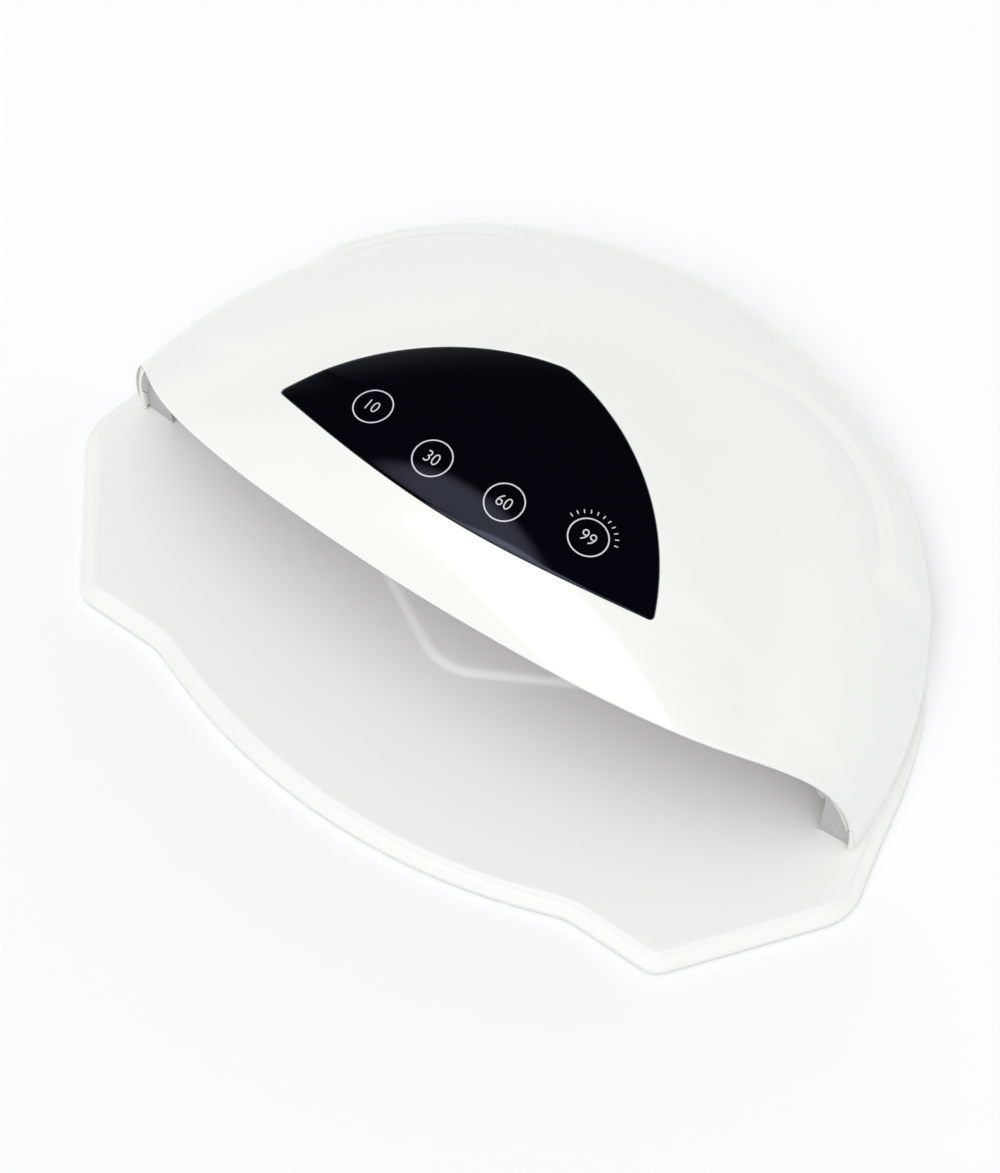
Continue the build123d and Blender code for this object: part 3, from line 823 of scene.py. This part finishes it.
    def shape_reach(self, ways: Array) -> Array:
        """Distance from the origin to the head's surface, fenders and creases included.

        Args:
            ways: unit directions.

        Returns:
            The distances.
        """
        dome = self.reach(ways)
        swept = self.reach(ways, self.swell, self.lean)
        walls = self.wall_reach(ways)
        near = np.clip(0.5 + 0.5 * (walls - swept) / self.edge_ease, 0, 1)
        fender = walls * (1 - near) + swept * near - self.edge_ease * near * (1 - near)
        spot = self.origin + ways * np.maximum(dome, fender)[..., None]
        x, y, z = np.abs(spot[..., 0]), spot[..., 1], spot[..., 2] - self.base_z
        off_circle = np.hypot(x - self.crease_centre[0], y - self.crease_centre[1]) - self.crease_radius
        slant = math.radians(self.fender_slant)
        behind = -(x - self.fender_start[0]) * math.sin(slant) + (y - self.fender_start[1]) * math.cos(slant)
        mask = smoothstep(off_circle / self.crease_ease + 0.5) * smoothstep(behind / self.front_ease + 0.5)
        raised = np.clip(fender - dome, 0, None) * mask
        dip = self.groove * np.exp(-((off_circle / self.groove_width) ** 2))
        dip = dip * smoothstep(behind / self.groove_front_ease + 0.5)
        for away, (start, ease) in ((z, self.groove_above), (x, self.groove_beside)):
            dip = dip * smoothstep((away - start) / ease)
        return dome + raised - dip

    def surface(self, ways: Array) -> Array:
        """Points of the head's surface along directions."""
        return self.origin + ways * self.shape_reach(ways)[..., None]

    def normals(self, points: Array) -> Array:
        """Outward normals of the head's surface at points on it.

        Args:
            points: rows of x, y, z.

        Returns:
            Unit normals.
        """
        ways = unit(points - self.origin)
        steep = np.abs(ways[..., 2:3]) >= self.upright
        across = unit(np.cross(ways, np.where(steep, [[1.0, 0.0, 0.0]], [[0.0, 0.0, 1.0]])))
        uphill = unit(np.cross(ways, across))
        steps = [sign * self.slope_step * way for way in (across, uphill) for sign in (1, -1)]
        sides = [self.surface(unit(ways + step)) for step in steps]
        normal = unit(np.cross(sides[0] - sides[1], sides[2] - sides[3]))
        return normal * np.sign((normal * ways).sum(axis=-1, keepdims=True))


@dataclass(frozen=True)
class PanelForm:
    """Outline of the touch panel: a rounded triangle of three arcs, in millimetres."""

    corner: Point = (67.3, -40.4)
    front_y: float = -49.8
    apex_y: float = 14.5
    bulge: Point = (39.6, -3.6)
    corner_radius: float = 1.6
    apex_radius: float = 10.0
    arc_steps: int = 80
    corner_half_steps: int = 8
    apex_steps: int = 30

    def half_outline(self, front_count: int, side_count: int) -> Array:
        """Right half of the outline from the front middle to the apex.

        Args:
            front_count: spans up to the corner.
            side_count: spans from the corner to the apex.

        Returns:
            Plan points, with one at the middle of the corner.
        """
        x, y = self.corner
        front, front_radius = circle_through((-x, y), (0, self.front_y), self.corner)
        side, side_radius = circle_through(self.corner, self.bulge, (0, self.apex_y))
        small = self.corner_radius
        middle = self.meet(front, front_radius - small, side, side_radius - small, np.array(self.corner))
        start = front + (middle - front) * front_radius / (front_radius - small)
        end = side + (middle - side) * side_radius / (side_radius - small)
        big = self.apex_radius
        apex = np.array([0.0, side[1] + math.sqrt((side_radius - big) ** 2 - side[0] ** 2)])
        leave = side + (apex - side) * side_radius / (side_radius - big)
        split = self.corner_half_steps
        bow = arc(front, front_radius, np.array([0.0, self.front_y]), start, self.arc_steps)
        turn = arc(middle, small, start, end, 2 * split + 1)
        flank = arc(side, side_radius, end, leave, self.arc_steps)
        point = arc(apex, big, leave, apex + np.array([0.0, big]), self.apex_steps)
        first = np.concatenate([bow, turn[1 : split + 1]])
        second = np.concatenate([turn[split:], flank[1:], point[1:]])
        return np.concatenate([resample(first, front_count + 1), resample(second, side_count + 1)[1:]])

    @staticmethod
    def meet(a: Array, radius_a: float, b: Array, radius_b: float, near: Array) -> Array:
        """Finds where two circles meet, on the side of a point.

        Args:
            a: first centre.
            radius_a: first radius.
            b: second centre.
            radius_b: second radius.
            near: the meeting point nearest to this is taken.

        Returns:
            The meeting point.
        """
        gap = float(np.linalg.norm(b - a))
        run = (radius_a**2 - radius_b**2 + gap**2) / (2 * gap)
        off = math.sqrt(max(0.0, radius_a**2 - run**2))
        way = (b - a) / gap
        found = [a + run * way + sign * off * left_of(way) for sign in (1, -1)]
        return min(found, key=lambda p: float(np.linalg.norm(p - near)))


# Head


@dataclass
class HeadShell:
    """White upper housing with its rolled lip, fenders and the pocket for the panel.

    Sizes are in millimetres. The skin's columns run from the edge of the panel's pocket down to
    the lip of the mouth and to the lower edge behind it, and its rows run all round.
    """

    form: DomeForm
    panel: PanelForm
    wall: float = 2.4
    lip_round: float = 0.85
    lip_return: float = 6.0
    recess: float = 1.4
    recess_round: float = 0.35
    ledge: float = 4.0
    # How finely the skin is drawn, and which of its rows the inner wall follows
    front_columns: int = 130
    rear_columns: int = 150
    rows: int = 110
    inner_rows: tuple[int, int, int] = (3, -9, 4)
    lip_steps: int = 6
    recess_steps: int = 5
    # How finely its edges are worked out first, and how the points crowd towards the foot
    lip_density: int = 400
    lip_points: int = 4000
    lip_crowding: float = 2.2
    base_points: int = 2500
    foot_lift: float = 0.05
    # Vents and the hole round the power inlet, in the back
    vent_count: int = 6
    vent_pitch: float = 6.0
    vent_first_x: float = 24.0
    vent_width: float = 2.0
    vent_z: Pair = (12.7, 21.7)
    vent_y: Pair = (94.0, 120.0)
    vent_end_steps: int = 7
    inlet_z: float = 16.7
    inlet_radius: float = 4.0
    inlet_steps: int = 48
    # Edge of the mouth in plan, from its middle to the right
    lip: tuple[Point, ...] = (
        (0.0, -70.5),
        (40.0, -69.4),
        (75.0, -65.5),
        (102.0, -56.7),
        (123.6, -41.6),
        (136.0, -33.0),
        (146.0, -29.0),
    )

    def lip_edge(self) -> Array:
        """Edge of the mouth from its middle to the right foot.

        Returns:
            Points evenly spaced along the edge.
        """
        plan = spline_through(mirrored(self.lip), self.lip_density)
        plan = plan[len(plan) // 2 :]
        plan = plan[plan[:, 0] >= 0]
        last = int(np.argmax(plan[:, 0] > self.form.half_width))
        before, after = plan[last - 1], plan[last]
        foot = before + (after - before) * (self.form.half_width - before[0]) / (after[0] - before[0])
        run = np.concatenate([plan[:last], foot[None]])
        fine = along(run, 1 - (1 - np.linspace(0, 1, self.lip_points)) ** self.lip_crowding)
        fine[0, 0] = 0.0
        edge = at_height(fine, self.form.top(fine))
        edge[-1, 2] = self.form.base_z
        return resample(edge, self.front_columns + 1)

    def base_edge(self, foot: Array) -> Array:
        """Lower edge of the housing from the right foot to the middle of the back.

        Args:
            foot: where the mouth's edge ends.

        Returns:
            Points evenly spaced along the edge.
        """
        start = math.atan2(foot[1] - self.form.centre_y, foot[0])
        turns = np.linspace(start, math.pi / 2, self.base_points)
        edge = self.form.surface(at_height(on_circle(turns), 0.0))
        edge[0] = foot
        edge[-1, 0] = 0.0
        return resample(edge, self.rear_columns + 1)

    def boundary(self) -> tuple[Array, Array, Array]:
        """Lower boundary of the housing all round.

        Returns:
            Edge points, outward normals, and the ways into the surface from the edge.
        """
        lip = self.lip_edge()
        base = self.base_edge(lip[-1])
        lifted = lip.copy()
        lifted[-1, 2] += self.foot_lift
        lip_normal = self.form.normals(lifted)
        run = np.gradient(lip, axis=0)
        run[0] = [1, 0, 0]
        lip_in = unit(np.cross(lip_normal, unit(run)))
        lip_in *= np.sign(lip_in[:, 1:2])
        tangent = unit(np.gradient(base, axis=0))
        base_normal = unit(np.cross(tangent, [0.0, 0.0, 1.0]))
        base_normal[-1] = [0, 1, 0]
        base_in = np.tile([0.0, 0.0, 1.0], (len(base), 1))
        lip_in[0] = unit(lip_in[0] * [0, 1, 1])
        corner_in = lip_in[-1] + base_in[0]
        edge = np.concatenate([lip, base[1:]])
        normal = np.concatenate([lip_normal, base_normal[1:]])
        inward = np.concatenate([lip_in[:-1], corner_in[None], base_in[1:]])
        return close_mirror(edge), close_mirror(normal), close_mirror(inward)

    def pocket(self) -> tuple[Array, Array, Array]:
        """Upper boundary of the housing: the edge of the panel's pocket.

        Returns:
            Edge points, outward normals, and the ways into the surface from the edge.
        """
        plan = close_mirror(self.panel.half_outline(self.front_columns, self.rear_columns))
        edge = at_height(plan, self.form.top(plan))
        normal = self.form.normals(edge)
        run = unit(np.roll(edge, -1, axis=0) - np.roll(edge, 1, axis=0))
        outward = unit(np.cross(run, normal))
        return edge, normal, outward

    @staticmethod
    def rounding(radius: float, steps: int) -> list[Point]:
        """Section of a rounded upper edge.

        Args:
            radius: rounding of the edge.
            steps: number of points.

        Returns:
            Pairs of how far out of the surface and how far in from the edge.
        """
        turn = np.linspace(0, math.pi / 2, steps)
        return [(-radius * (1 - math.cos(a)), radius * (1 - math.sin(a))) for a in turn]

    def rolled(self) -> list[Point]:
        """Section of the lip, from the outside round both edges to the inside.

        Returns:
            Pairs of how far out of the surface and how far in from the edge.
        """
        top = self.rounding(self.lip_round, self.lip_steps)
        low = [(-self.wall - out, into) for out, into in reversed(top)]
        return top + low + [(-self.wall, self.lip_return)]

    def opening_sections(self) -> list[Array]:
        """Outlines of the inlet's hole and of the vents on both sides of it.

        Returns:
            Rows of x and z for each.
        """
        low, high = self.vent_z
        half = self.vent_width / 2
        end = half * on_circle(np.linspace(0, math.pi, self.vent_end_steps))
        slot = np.concatenate([end + [0.0, high - half], [0.0, low + half] - end])
        turns = np.linspace(0, 2 * math.pi, self.inlet_steps, endpoint=False)
        sections = [on_circle(turns) * self.inlet_radius + [0.0, self.inlet_z]]
        for number in range(self.vent_count):
            x = self.vent_first_x + number * self.vent_pitch
            sections += [slot + [x, 0.0], slot + [-x, 0.0]]
        return sections

    def openings(self) -> list[bpy.types.Object]:
        """Makes the cutters of the vents and of the hole round the power inlet.

        Returns:
            The cutters.
        """
        cutters = []
        for section in self.opening_sections():
            ends = [at_height(section, y)[:, [0, 2, 1]] for y in self.vent_y]
            corners = tuple(range(len(section)))
            draft = Draft()
            draft.grid(np.array(ends))
            draft.add(ends[0], [corners[::-1]])
            draft.add(ends[1], [corners])
            cutters.append(draft.build("opening", GLOSS_ABS))
        return cutters

    def build(self) -> bpy.types.Object:
        """Makes the housing.

        Returns:
            The object.
        """
        edge, normal, inward = self.boundary()
        top, top_normal, outward = self.pocket()
        low_ways = unit(edge + self.lip_round * inward - self.form.origin)
        high_ways = unit(top + self.recess_round * outward - self.form.origin)
        cosine = np.clip((low_ways * high_ways).sum(axis=1), -1, 1)
        angle = np.arccos(cosine)[:, None]
        share = np.linspace(0, 1, self.rows + 1)[:, None, None]
        ways = (np.sin((1 - share) * angle) * high_ways + np.sin(share * angle) * low_ways) / np.sin(angle)
        rows = self.form.surface(unit(ways))
        lip_rows = np.array([edge + out * normal + into * inward for out, into in self.rolled()])
        section = self.rounding(self.recess_round, self.recess_steps)
        section += [(-self.recess, 0.0), (-self.recess, -self.ledge), (-self.wall, -self.ledge)]
        pocket_rows = np.array([top + out * top_normal + into * outward for out, into in section])
        lip_rows[0] = rows[-1]
        pocket_rows[0] = rows[0]
        inner = rows[slice(*self.inner_rows)]
        inner = inner - self.wall * self.form.normals(inner)
        inside_rows = np.concatenate([pocket_rows[-1:], inner, lip_rows[-1:]])
        draft = Draft()
        draft.grid(rows, flip=True)
        draft.grid(lip_rows, flip=True)
        draft.grid(pocket_rows)
        draft.grid(inside_rows)
        piece = draft.build("upper_shell_moulding", GLOSS_ABS)
        cut_away(piece, self.openings())
        sharpen(piece.data)
        return place(piece, Body.HEAD, "shell_plastic", "upper_shell")


@dataclass
class TouchPanel:
    """Black glossy window with the printed rings, numbers and marks of its keys.

    Sizes are in millimetres. The ink is drawn thicker than it is, so that its top stays clear of
    the window's facets.
    """

    form: DomeForm
    panel: PanelForm
    # Window: how deep it sits, its edge, and how much of the pocket's outline it fills
    sink: float = 0.1
    thickness: float = 1.2
    edge_round: float = 0.3
    edge_steps: int = 6
    pocket_share: float = 0.996
    # Its mesh: where the columns run together, how near they come, and the ring on its back
    middle_y: float = -20.0
    middle_share: float = 0.004
    back_share: float = 0.5
    columns: int = 110
    rows: int = 50
    # Print: rings round the keys, and the marks round the right one
    ring_radius: float = 6.0
    ring_line: float = 0.42
    ring_steps: int = 72
    print_height: float = 0.03
    print_depth: float = 0.02
    mark_degrees: range = range(20, 161, 14)
    mark_half_line: float = 0.16
    mark_radii: tuple[float, ...] = (7.7, 8.1, 8.5, 8.9)
    # Its numbers, with their thinning and the thickness of their slab in the font's own units
    digit_height: float = 3.8
    digit_stretch: float = 0.92
    digit_thinning: float = 0.012
    digit_slab: float = 0.01
    digit_steps: int = 6
    keys: tuple[tuple[float, float, str], ...] = (
        (-38.4, -31.5, "10"),
        (-12.8, -37.0, "30"),
        (12.8, -37.0, "60"),
        (38.4, -31.5, "99"),
    )

    def drape(self, plan: Array, height: float | Array) -> Array:
        """Lays plan points on the window, at a distance above it."""
        return at_height(plan, self.form.top(plan) - self.sink + height)

    def window(self) -> bpy.types.Object:
        """Makes the black window.

        Returns:
            The object.
        """
        loop = close_mirror(self.panel.half_outline(self.columns, self.columns))
        middle = np.array([0.0, self.middle_y])
        loop = middle + (loop - middle) * self.pocket_share
        inward = left_of(unit(np.roll(loop, -1, axis=0) - np.roll(loop, 1, axis=0)))
        inner = loop + inward * self.edge_round
        shares = np.linspace(self.middle_share, 1, self.rows)
        rows = [self.drape(middle + (inner - middle) * share, 0.0) for share in shares]
        for a in np.linspace(0, math.pi / 2, self.edge_steps)[1:]:
            plan = loop + inward * self.edge_round * (1 - math.sin(a))
            rows.append(self.drape(plan, -self.edge_round * (1 - math.cos(a))))
        for share in (1.0, self.back_share, self.middle_share):
            rows.append(self.drape(middle + (loop - middle) * share, -self.thickness))
        draft = Draft()
        draft.grid(np.array(rows))
        corners = tuple(range(len(loop)))
        draft.add(rows[0], [corners])
        draft.add(rows[-1], [corners[::-1]])
        piece = draft.build("panel_window", BLACK_ACRYLIC, Shading.BY_ANGLE)
        return place(piece, Body.HEAD, "panel_black", "panel_lens")

    def band(self, draft: Draft, inner: Array, outer: Array, closed: bool) -> None:
        """Draws a printed line between two plan lines as a thin closed slab.

        Args:
            draft: mesh that takes it.
            inner: one edge.
            outer: the other edge.
            closed: the line runs all round.
        """
        high, low = self.print_height, -self.print_depth
        section = ((inner, low), (inner, high), (outer, high), (outer, low))
        slab = np.array([self.drape(plan, height) for plan, height in section])
        draft.grid(np.concatenate([slab, slab[:1]]), closed=closed, flip=True)
        if not closed:
            draft.add(slab[:, 0], [(0, 1, 2, 3)])
            draft.add(slab[:, -1], [(3, 2, 1, 0)])

    def rings(self) -> bpy.types.Object:
        """Prints the rings of the four keys.

        Returns:
            The object.
        """
        draft = Draft()
        circle = on_circle(np.linspace(0, 2 * math.pi, self.ring_steps, endpoint=False))
        inner, outer = self.ring_radius - self.ring_line / 2, self.ring_radius + self.ring_line / 2
        for x, y, _ in self.keys:
            self.band(draft, [x, y] + circle * inner, [x, y] + circle * outer, True)
        piece = draft.build("panel_key_rings", WHITE_INK, Shading.BY_ANGLE)
        return place(piece, Body.HEAD, "shell_plastic")

    def marks(self) -> bpy.types.Object:
        """Prints a row of short marks round the upper side of the right key's ring.

        Returns:
            The object.
        """
        draft = Draft()
        radii = np.array(self.mark_radii)[:, None]
        for way in on_circle(np.radians(self.mark_degrees)):
            run = self.keys[-1][:2] + way * radii
            side = left_of(way) * self.mark_half_line
            self.band(draft, run + side, run - side, False)
        piece = draft.build("panel_key_marks", WHITE_INK, Shading.BY_ANGLE)
        return place(piece, Body.HEAD, "shell_plastic")

    def lettering(self, text: str) -> tuple[Array, list[tuple[int, ...]]]:
        """Makes one number as a thin slab, with Z above 0 on its upper side.

        Args:
            text: the number.

        Returns:
            Points and faces, of no set size or place.
        """
        curve = bpy.data.curves.new("number", "FONT")
        curve.body = text
        curve.resolution_u = self.digit_steps
        curve.extrude = self.digit_slab
        curve.offset = -self.digit_thinning
        curve.align_x = "CENTER"
        curve.align_y = "CENTER"
        holder = put_in_scene("number", curve)
        bpy.context.view_layer.update()
        mesh = holder.to_mesh()
        points = np.array([v.co for v in mesh.vertices], float).reshape(-1, 3)
        faces = [tuple(p.vertices) for p in mesh.polygons]
        holder.to_mesh_clear()
        bpy.data.objects.remove(holder)
        bpy.data.curves.remove(curve)
        return points, faces

    def digits(self) -> bpy.types.Object:
        """Prints plain numbers in the rings.

        Returns:
            The object.
        """
        draft = Draft()
        for x, y, text in self.keys:
            points, faces = self.lettering(text)
            plan, upper = points[:, :2], points[:, 2] > 0
            low, high = plan.min(axis=0), plan.max(axis=0)
            scale = self.digit_height / (high[1] - low[1])
            plan = (plan - (low + high) / 2) * [scale * self.digit_stretch, scale] + [x, y]
            draft.add(self.drape(plan, np.where(upper, self.print_height, -self.print_depth)), faces)
        piece = draft.build("panel_key_numbers", WHITE_INK, Shading.BY_ANGLE)
        return place(piece, Body.HEAD, "shell_plastic")

    def build(self) -> None:
        """Makes the window and its print."""
        self.window()
        self.rings()
        self.marks()
        self.digits()


# Base


@dataclass
class BaseTray:
    """Satin base with bowed front, two ears, a flared rim and the low island between the hands.

    Sizes are in millimetres. A rim is a list of how far in from its outline and at what height.
    """

    form: DomeForm
    rim: tuple[Point, ...] = (
        (1.1, 2.2),
        (1.1, 0.9),
        (0.35, 0.9),
        (0.08, 1.15),
        (0.0, 1.6),
        (0.0, 2.6),
        (0.12, 3.2),
        (0.5, 3.55),
        (1.2, 3.75),
        (2.8, 4.05),
        (3.5, 4.3),
        (3.95, 4.75),
        (4.25, 5.35),
        (4.55, 5.75),
        (5.0, 5.95),
        (5.6, 6.0),
    )
    island_rim: tuple[Point, ...] = (
        (-0.6, 6.0),
        (0.0, 6.04),
        (0.6, 6.25),
        (1.3, 6.75),
        (2.0, 7.15),
        (2.8, 7.35),
        (3.8, 7.4),
    )
    # Front bow, the notch beside it, and where the flank meets the rear of the dome
    bow_end: Point = (80.0, -98.0)
    bow_middle_y: float = -114.0
    notch_radius: float = 28.0
    side: Point = (146.4, -22.0)
    # How far left of the middle a point of the right half may lie
    middle_slack: float = 1e-6
    # Corners as x, y and radius
    ear: Triple = (112.0, -98.2, 8.0)
    flank: Triple = (151.6, -47.6, 18.0)
    island: tuple[Triple, ...] = (
        (0.0, -55.0, 22.0),
        (66.0, -18.7, 22.0),
        (40.0, 50.0, 22.0),
        (-40.0, 50.0, 22.0),
        (-66.0, -18.7, 22.0),
    )
    # Samples on the bow, the notch, a rounding and a span of the rear, then on half the outline
    bow_steps: int = 60
    notch_steps: int = 12
    corner_steps: int = 14
    rear_steps: int = 40
    half_steps: int = 420
    island_corner_steps: int = 24
    island_steps: int = 240

    def outline(self) -> Array:
        """Outline of the base from above.

        Returns:
            Points, anticlockwise from the front middle.
        """
        x, y = self.bow_end
        centre, radius = circle_through((-x, y), (0, self.bow_middle_y), self.bow_end)
        notch = self.notch_radius
        line_y = self.ear[1]
        reach = radius + notch
        low = line_y - notch
        foot = np.array([math.sqrt(reach**2 - (low - centre[1]) ** 2), low])
        touch = centre + (foot - centre) * radius / reach
        bow = arc(centre, radius, np.array([0.0, self.bow_middle_y]), touch, self.bow_steps)
        sweep = arc(foot, notch, touch, foot + np.array([0.0, notch]), self.notch_steps)
        corners = [(float(sweep[-1][0]), line_y, 0.0), self.ear, self.flank, (*self.side, 0.0)]
        turned = rounded_polygon(corners, self.corner_steps)
        rear = spline_through(mirrored([*self.form.rear_outline, self.side])[::-1], self.rear_steps)
        rear = rear[rear[:, 0] >= -self.middle_slack]
        half = np.concatenate([bow, sweep[1:], turned[1:-1], rear])
        half[0, 0] = half[-1, 0] = 0.0
        return close_mirror(resample(half, self.half_steps))

    def build(self) -> bpy.types.Object:
        """Makes the tray.

        Returns:
            The object.
        """
        outline = self.outline()
        island = rounded_polygon(self.island, self.island_corner_steps)
        island = resample(np.concatenate([island, island[:1]]), self.island_steps)[:-1]
        rows = [at_height(inset_loop(outline, inset), z) for inset, z in self.rim]
        raised = [at_height(inset_loop(island, inset), z) for inset, z in self.island_rim]
        draft = Draft()
        draft.grid(np.array(rows))
        draft.grid(np.array(raised))
        draft.fill([rows[-1], raised[0][::-1]], self.rim[-1][1])
        draft.fill([raised[-1]], self.island_rim[-1][1])
        draft.fill([rows[0]], self.rim[0][1], flip=True)
        piece = draft.build("base_tray_moulding", SATIN_ABS)
        return place(piece, Body.BASE, "base_plastic", "base_tray")


# Parts kept from the frame


@dataclass
class CarriedParts:
    """Parts that show with the frame's own meshes, each in its own finish."""

    frame: dict[str, Any]
    finishes: tuple[tuple[str, Finish], ...] = (
        ("base_bottom_plate", SATIN_ABS),
        ("base_feet", SOFT_RUBBER),
        ("base_magnets", NICKEL_PLATE),
        ("base_screws", ZINC_STEEL),
        ("chamber_liner", GREY_PC),
        ("head_magnets", NICKEL_PLATE),
        ("shell_screws", ZINC_STEEL),
        ("led_board", SOLDER_MASK),
        ("led_lenses", CLEAR_ACRYLIC),
        ("led_chips", PHOSPHOR_RESIN),
        ("hand_sensors", FILTER_PLASTIC),
        ("control_board", SOLDER_MASK),
        ("display_module", FILTER_PLASTIC),
        ("touch_springs", SPRING_WIRE),
        ("board_connector", NATURAL_NYLON),
        ("driver_board", SOLDER_MASK),
        ("driver_components", MOULD_COMPOUND),
        ("dc_jack_body", BLACK_PBT),
        ("dc_jack_pin", PLATED_CONTACT),
    )

    def dress(self) -> None:
        """Gives each shown node the finish of the first name that its own starts with."""
        for name, node in sorted(self.frame["nodes"].items()):
            if node.hide_render:
                continue
            found = [finish for key, finish in self.finishes if name.startswith(key)]
            if not found:
                raise ValueError(f"no finish for {name}")
            node.data.materials.clear()
            node.data.materials.append(found[0].build())
            LOG.info("carried %s in %s", name, found[0].name)


# Studio


@dataclass
class Studio:
    """Pale floor, white surround, one soft lamp and the camera.

    Places are in metres, angles in degrees, and the lens and its sensor in millimetres.
    """

    camera_at: Triple = (0.2173, -0.3402, 0.7200)
    azimuth: float = 34.12
    elevation: float = 61.33
    roll: float = 1.17
    lens: float = 89.75
    sensor_width: float = 36.0
    floor_size: float = 6.0
    floor_colour: str = "#F6F7F8"
    floor_roughness: float = 0.9
    world_level: float = 0.64
    # In gloss: Z of a direction where white ends and where dark starts, and the window's edge as
    # the cosine of the angle from its middle
    horizon: Pair = (0.05, 0.6)
    overhead_level: float = 0.015
    window_way: Triple = (-0.27, 0.02, 0.963)
    window_edge: Pair = (0.972, 0.997)
    window_level: float = 1.2
    key_level: float = 1.4
    key_spread: float = 50.0
    key_way: Triple = (-0.1, 0.35, -0.93)

    def floor(self) -> None:
        """Lays the plain floor."""
        mesh = bpy.data.meshes.new("floor")
        half = self.floor_size / 2
        corners = [(-half, -half, 0), (half, -half, 0), (half, half, 0), (-half, half, 0)]
        mesh.from_pydata(corners, [], [(0, 1, 2, 3)])
        made = bpy.data.materials.new("paper_white_matt")
        made.use_nodes = True
        shader = made.node_tree.nodes["Principled BSDF"]
        shader.inputs["Base Color"].default_value = linear(self.floor_colour)
        shader.inputs["Roughness"].default_value = self.floor_roughness
        shader.inputs["Specular IOR Level"].default_value = 0.0
        mesh.materials.append(made)
        put_in_scene("floor", mesh)

    def world(self) -> None:
        """Lights the room softly and shows plain white to the camera.

        In gloss the room is white near the floor's level and darker overhead, with one broad soft
        window high up on the left, which is what polished black shows of a photo studio.
        """
        world = bpy.data.worlds.new("white_room")
        bpy.context.scene.world = world
        world.use_nodes = True
        tree = world.node_tree
        tree.nodes.clear()
        path = add_node(tree, "ShaderNodeLightPath")
        where = add_node(tree, "ShaderNodeTexCoord")
        parts = add_node(tree, "ShaderNodeSeparateXYZ", Vector=where.outputs["Generated"])
        overhead = add_node(
            tree,
            "ShaderNodeMapRange",
            {"interpolation_type": "SMOOTHERSTEP"},
            Value=parts.outputs["Z"],
            From_Min=self.horizon[0],
            From_Max=self.horizon[1],
            To_Min=1.0,
            To_Max=self.overhead_level,
        )
        aim = Vector(self.window_way).normalized()
        facing = add_node(
            tree, "ShaderNodeVectorMath", {"operation": "DOT_PRODUCT"}, i0=where.outputs["Generated"], i1=aim
        )
        window = add_node(
            tree,
            "ShaderNodeMapRange",
            {"interpolation_type": "SMOOTHERSTEP"},
            Value=facing.outputs["Value"],
            From_Min=self.window_edge[0],
            From_Max=self.window_edge[1],
            To_Min=0.0,
            To_Max=self.window_level,
        )
        room = add_node(
            tree,
            "ShaderNodeMath",
            {"operation": "ADD"},
            i0=overhead.outputs["Result"],
            i1=window.outputs["Result"],
        )
        gloss = add_node(
            tree,
            "ShaderNodeMix",
            Factor=path.outputs["Is Glossy Ray"],
            i2=self.world_level,
            i3=room.outputs["Value"],
        )
        seen = add_node(
            tree,
            "ShaderNodeMath",
            {"operation": "MAXIMUM"},
            i0=path.outputs["Is Camera Ray"],
            i1=path.outputs["Is Transmission Ray"],
        )
        level = add_node(tree, "ShaderNodeMix", Factor=seen.outputs["Value"], i2=gloss.outputs[0], i3=1.0)
        light = add_node(tree, "ShaderNodeBackground", Color=(1, 1, 1, 1), Strength=level.outputs[0])
        add_node(tree, "ShaderNodeOutputWorld", Surface=light.outputs["Background"])

    def lamp(self) -> None:
        """Sets the one broad key light, from above the front."""
        sun = bpy.data.lights.new("soft_key", "SUN")
        sun.energy = self.key_level
        sun.angle = math.radians(self.key_spread)
        lamp = put_in_scene("soft_key", sun)
        lamp.rotation_euler = Vector(self.key_way).to_track_quat("-Z", "Y").to_euler()

    def camera(self) -> None:
        """Sets the camera where the photograph was taken from."""
        turn, tilt, roll = (math.radians(v) for v in (self.azimuth, self.elevation, self.roll))
        right = Vector((math.cos(turn), math.sin(turn), 0))
        ahead = Vector((-math.sin(turn) * math.cos(tilt), math.cos(turn) * math.cos(tilt), -math.sin(tilt)))
        up = right.cross(ahead)
        right, up = (
            math.cos(roll) * right + math.sin(roll) * up,
            -math.sin(roll) * right + math.cos(roll) * up,
        )
        data = bpy.data.cameras.new("camera")
        data.sensor_fit = "HORIZONTAL"
        data.sensor_width = self.sensor_width
        data.lens = self.lens
        camera = put_in_scene("camera", data)
        rows = Matrix((right, up, -ahead)).transposed().to_4x4()
        camera.matrix_world = Matrix.Translation(self.camera_at) @ rows
        bpy.context.scene.camera = camera

    def build(self) -> None:
        """Sets up the whole studio."""
        bpy.context.scene.view_settings.view_transform = "Standard"
        self.floor()
        self.world()
        self.lamp()
        self.camera()


def clear_scene() -> None:
    """Removes what a new file holds at its start."""
    for item in list(bpy.data.objects):
        bpy.data.objects.remove(item)


def main() -> None:
    """Builds the lamp's looks on the frame."""
    logging.basicConfig(level=logging.INFO, format="%(name)s: %(message)s")
    clear_scene()
    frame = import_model()
    form, panel = DomeForm(), PanelForm()
    makers: list[Callable[[], Any]] = [
        HeadShell(form, panel).build,
        TouchPanel(form, panel).build,
        BaseTray(form).build,
        CarriedParts(frame).dress,
        Studio().build,
    ]
    for make in makers:
        make()


if __name__ == "__main__":
    main()
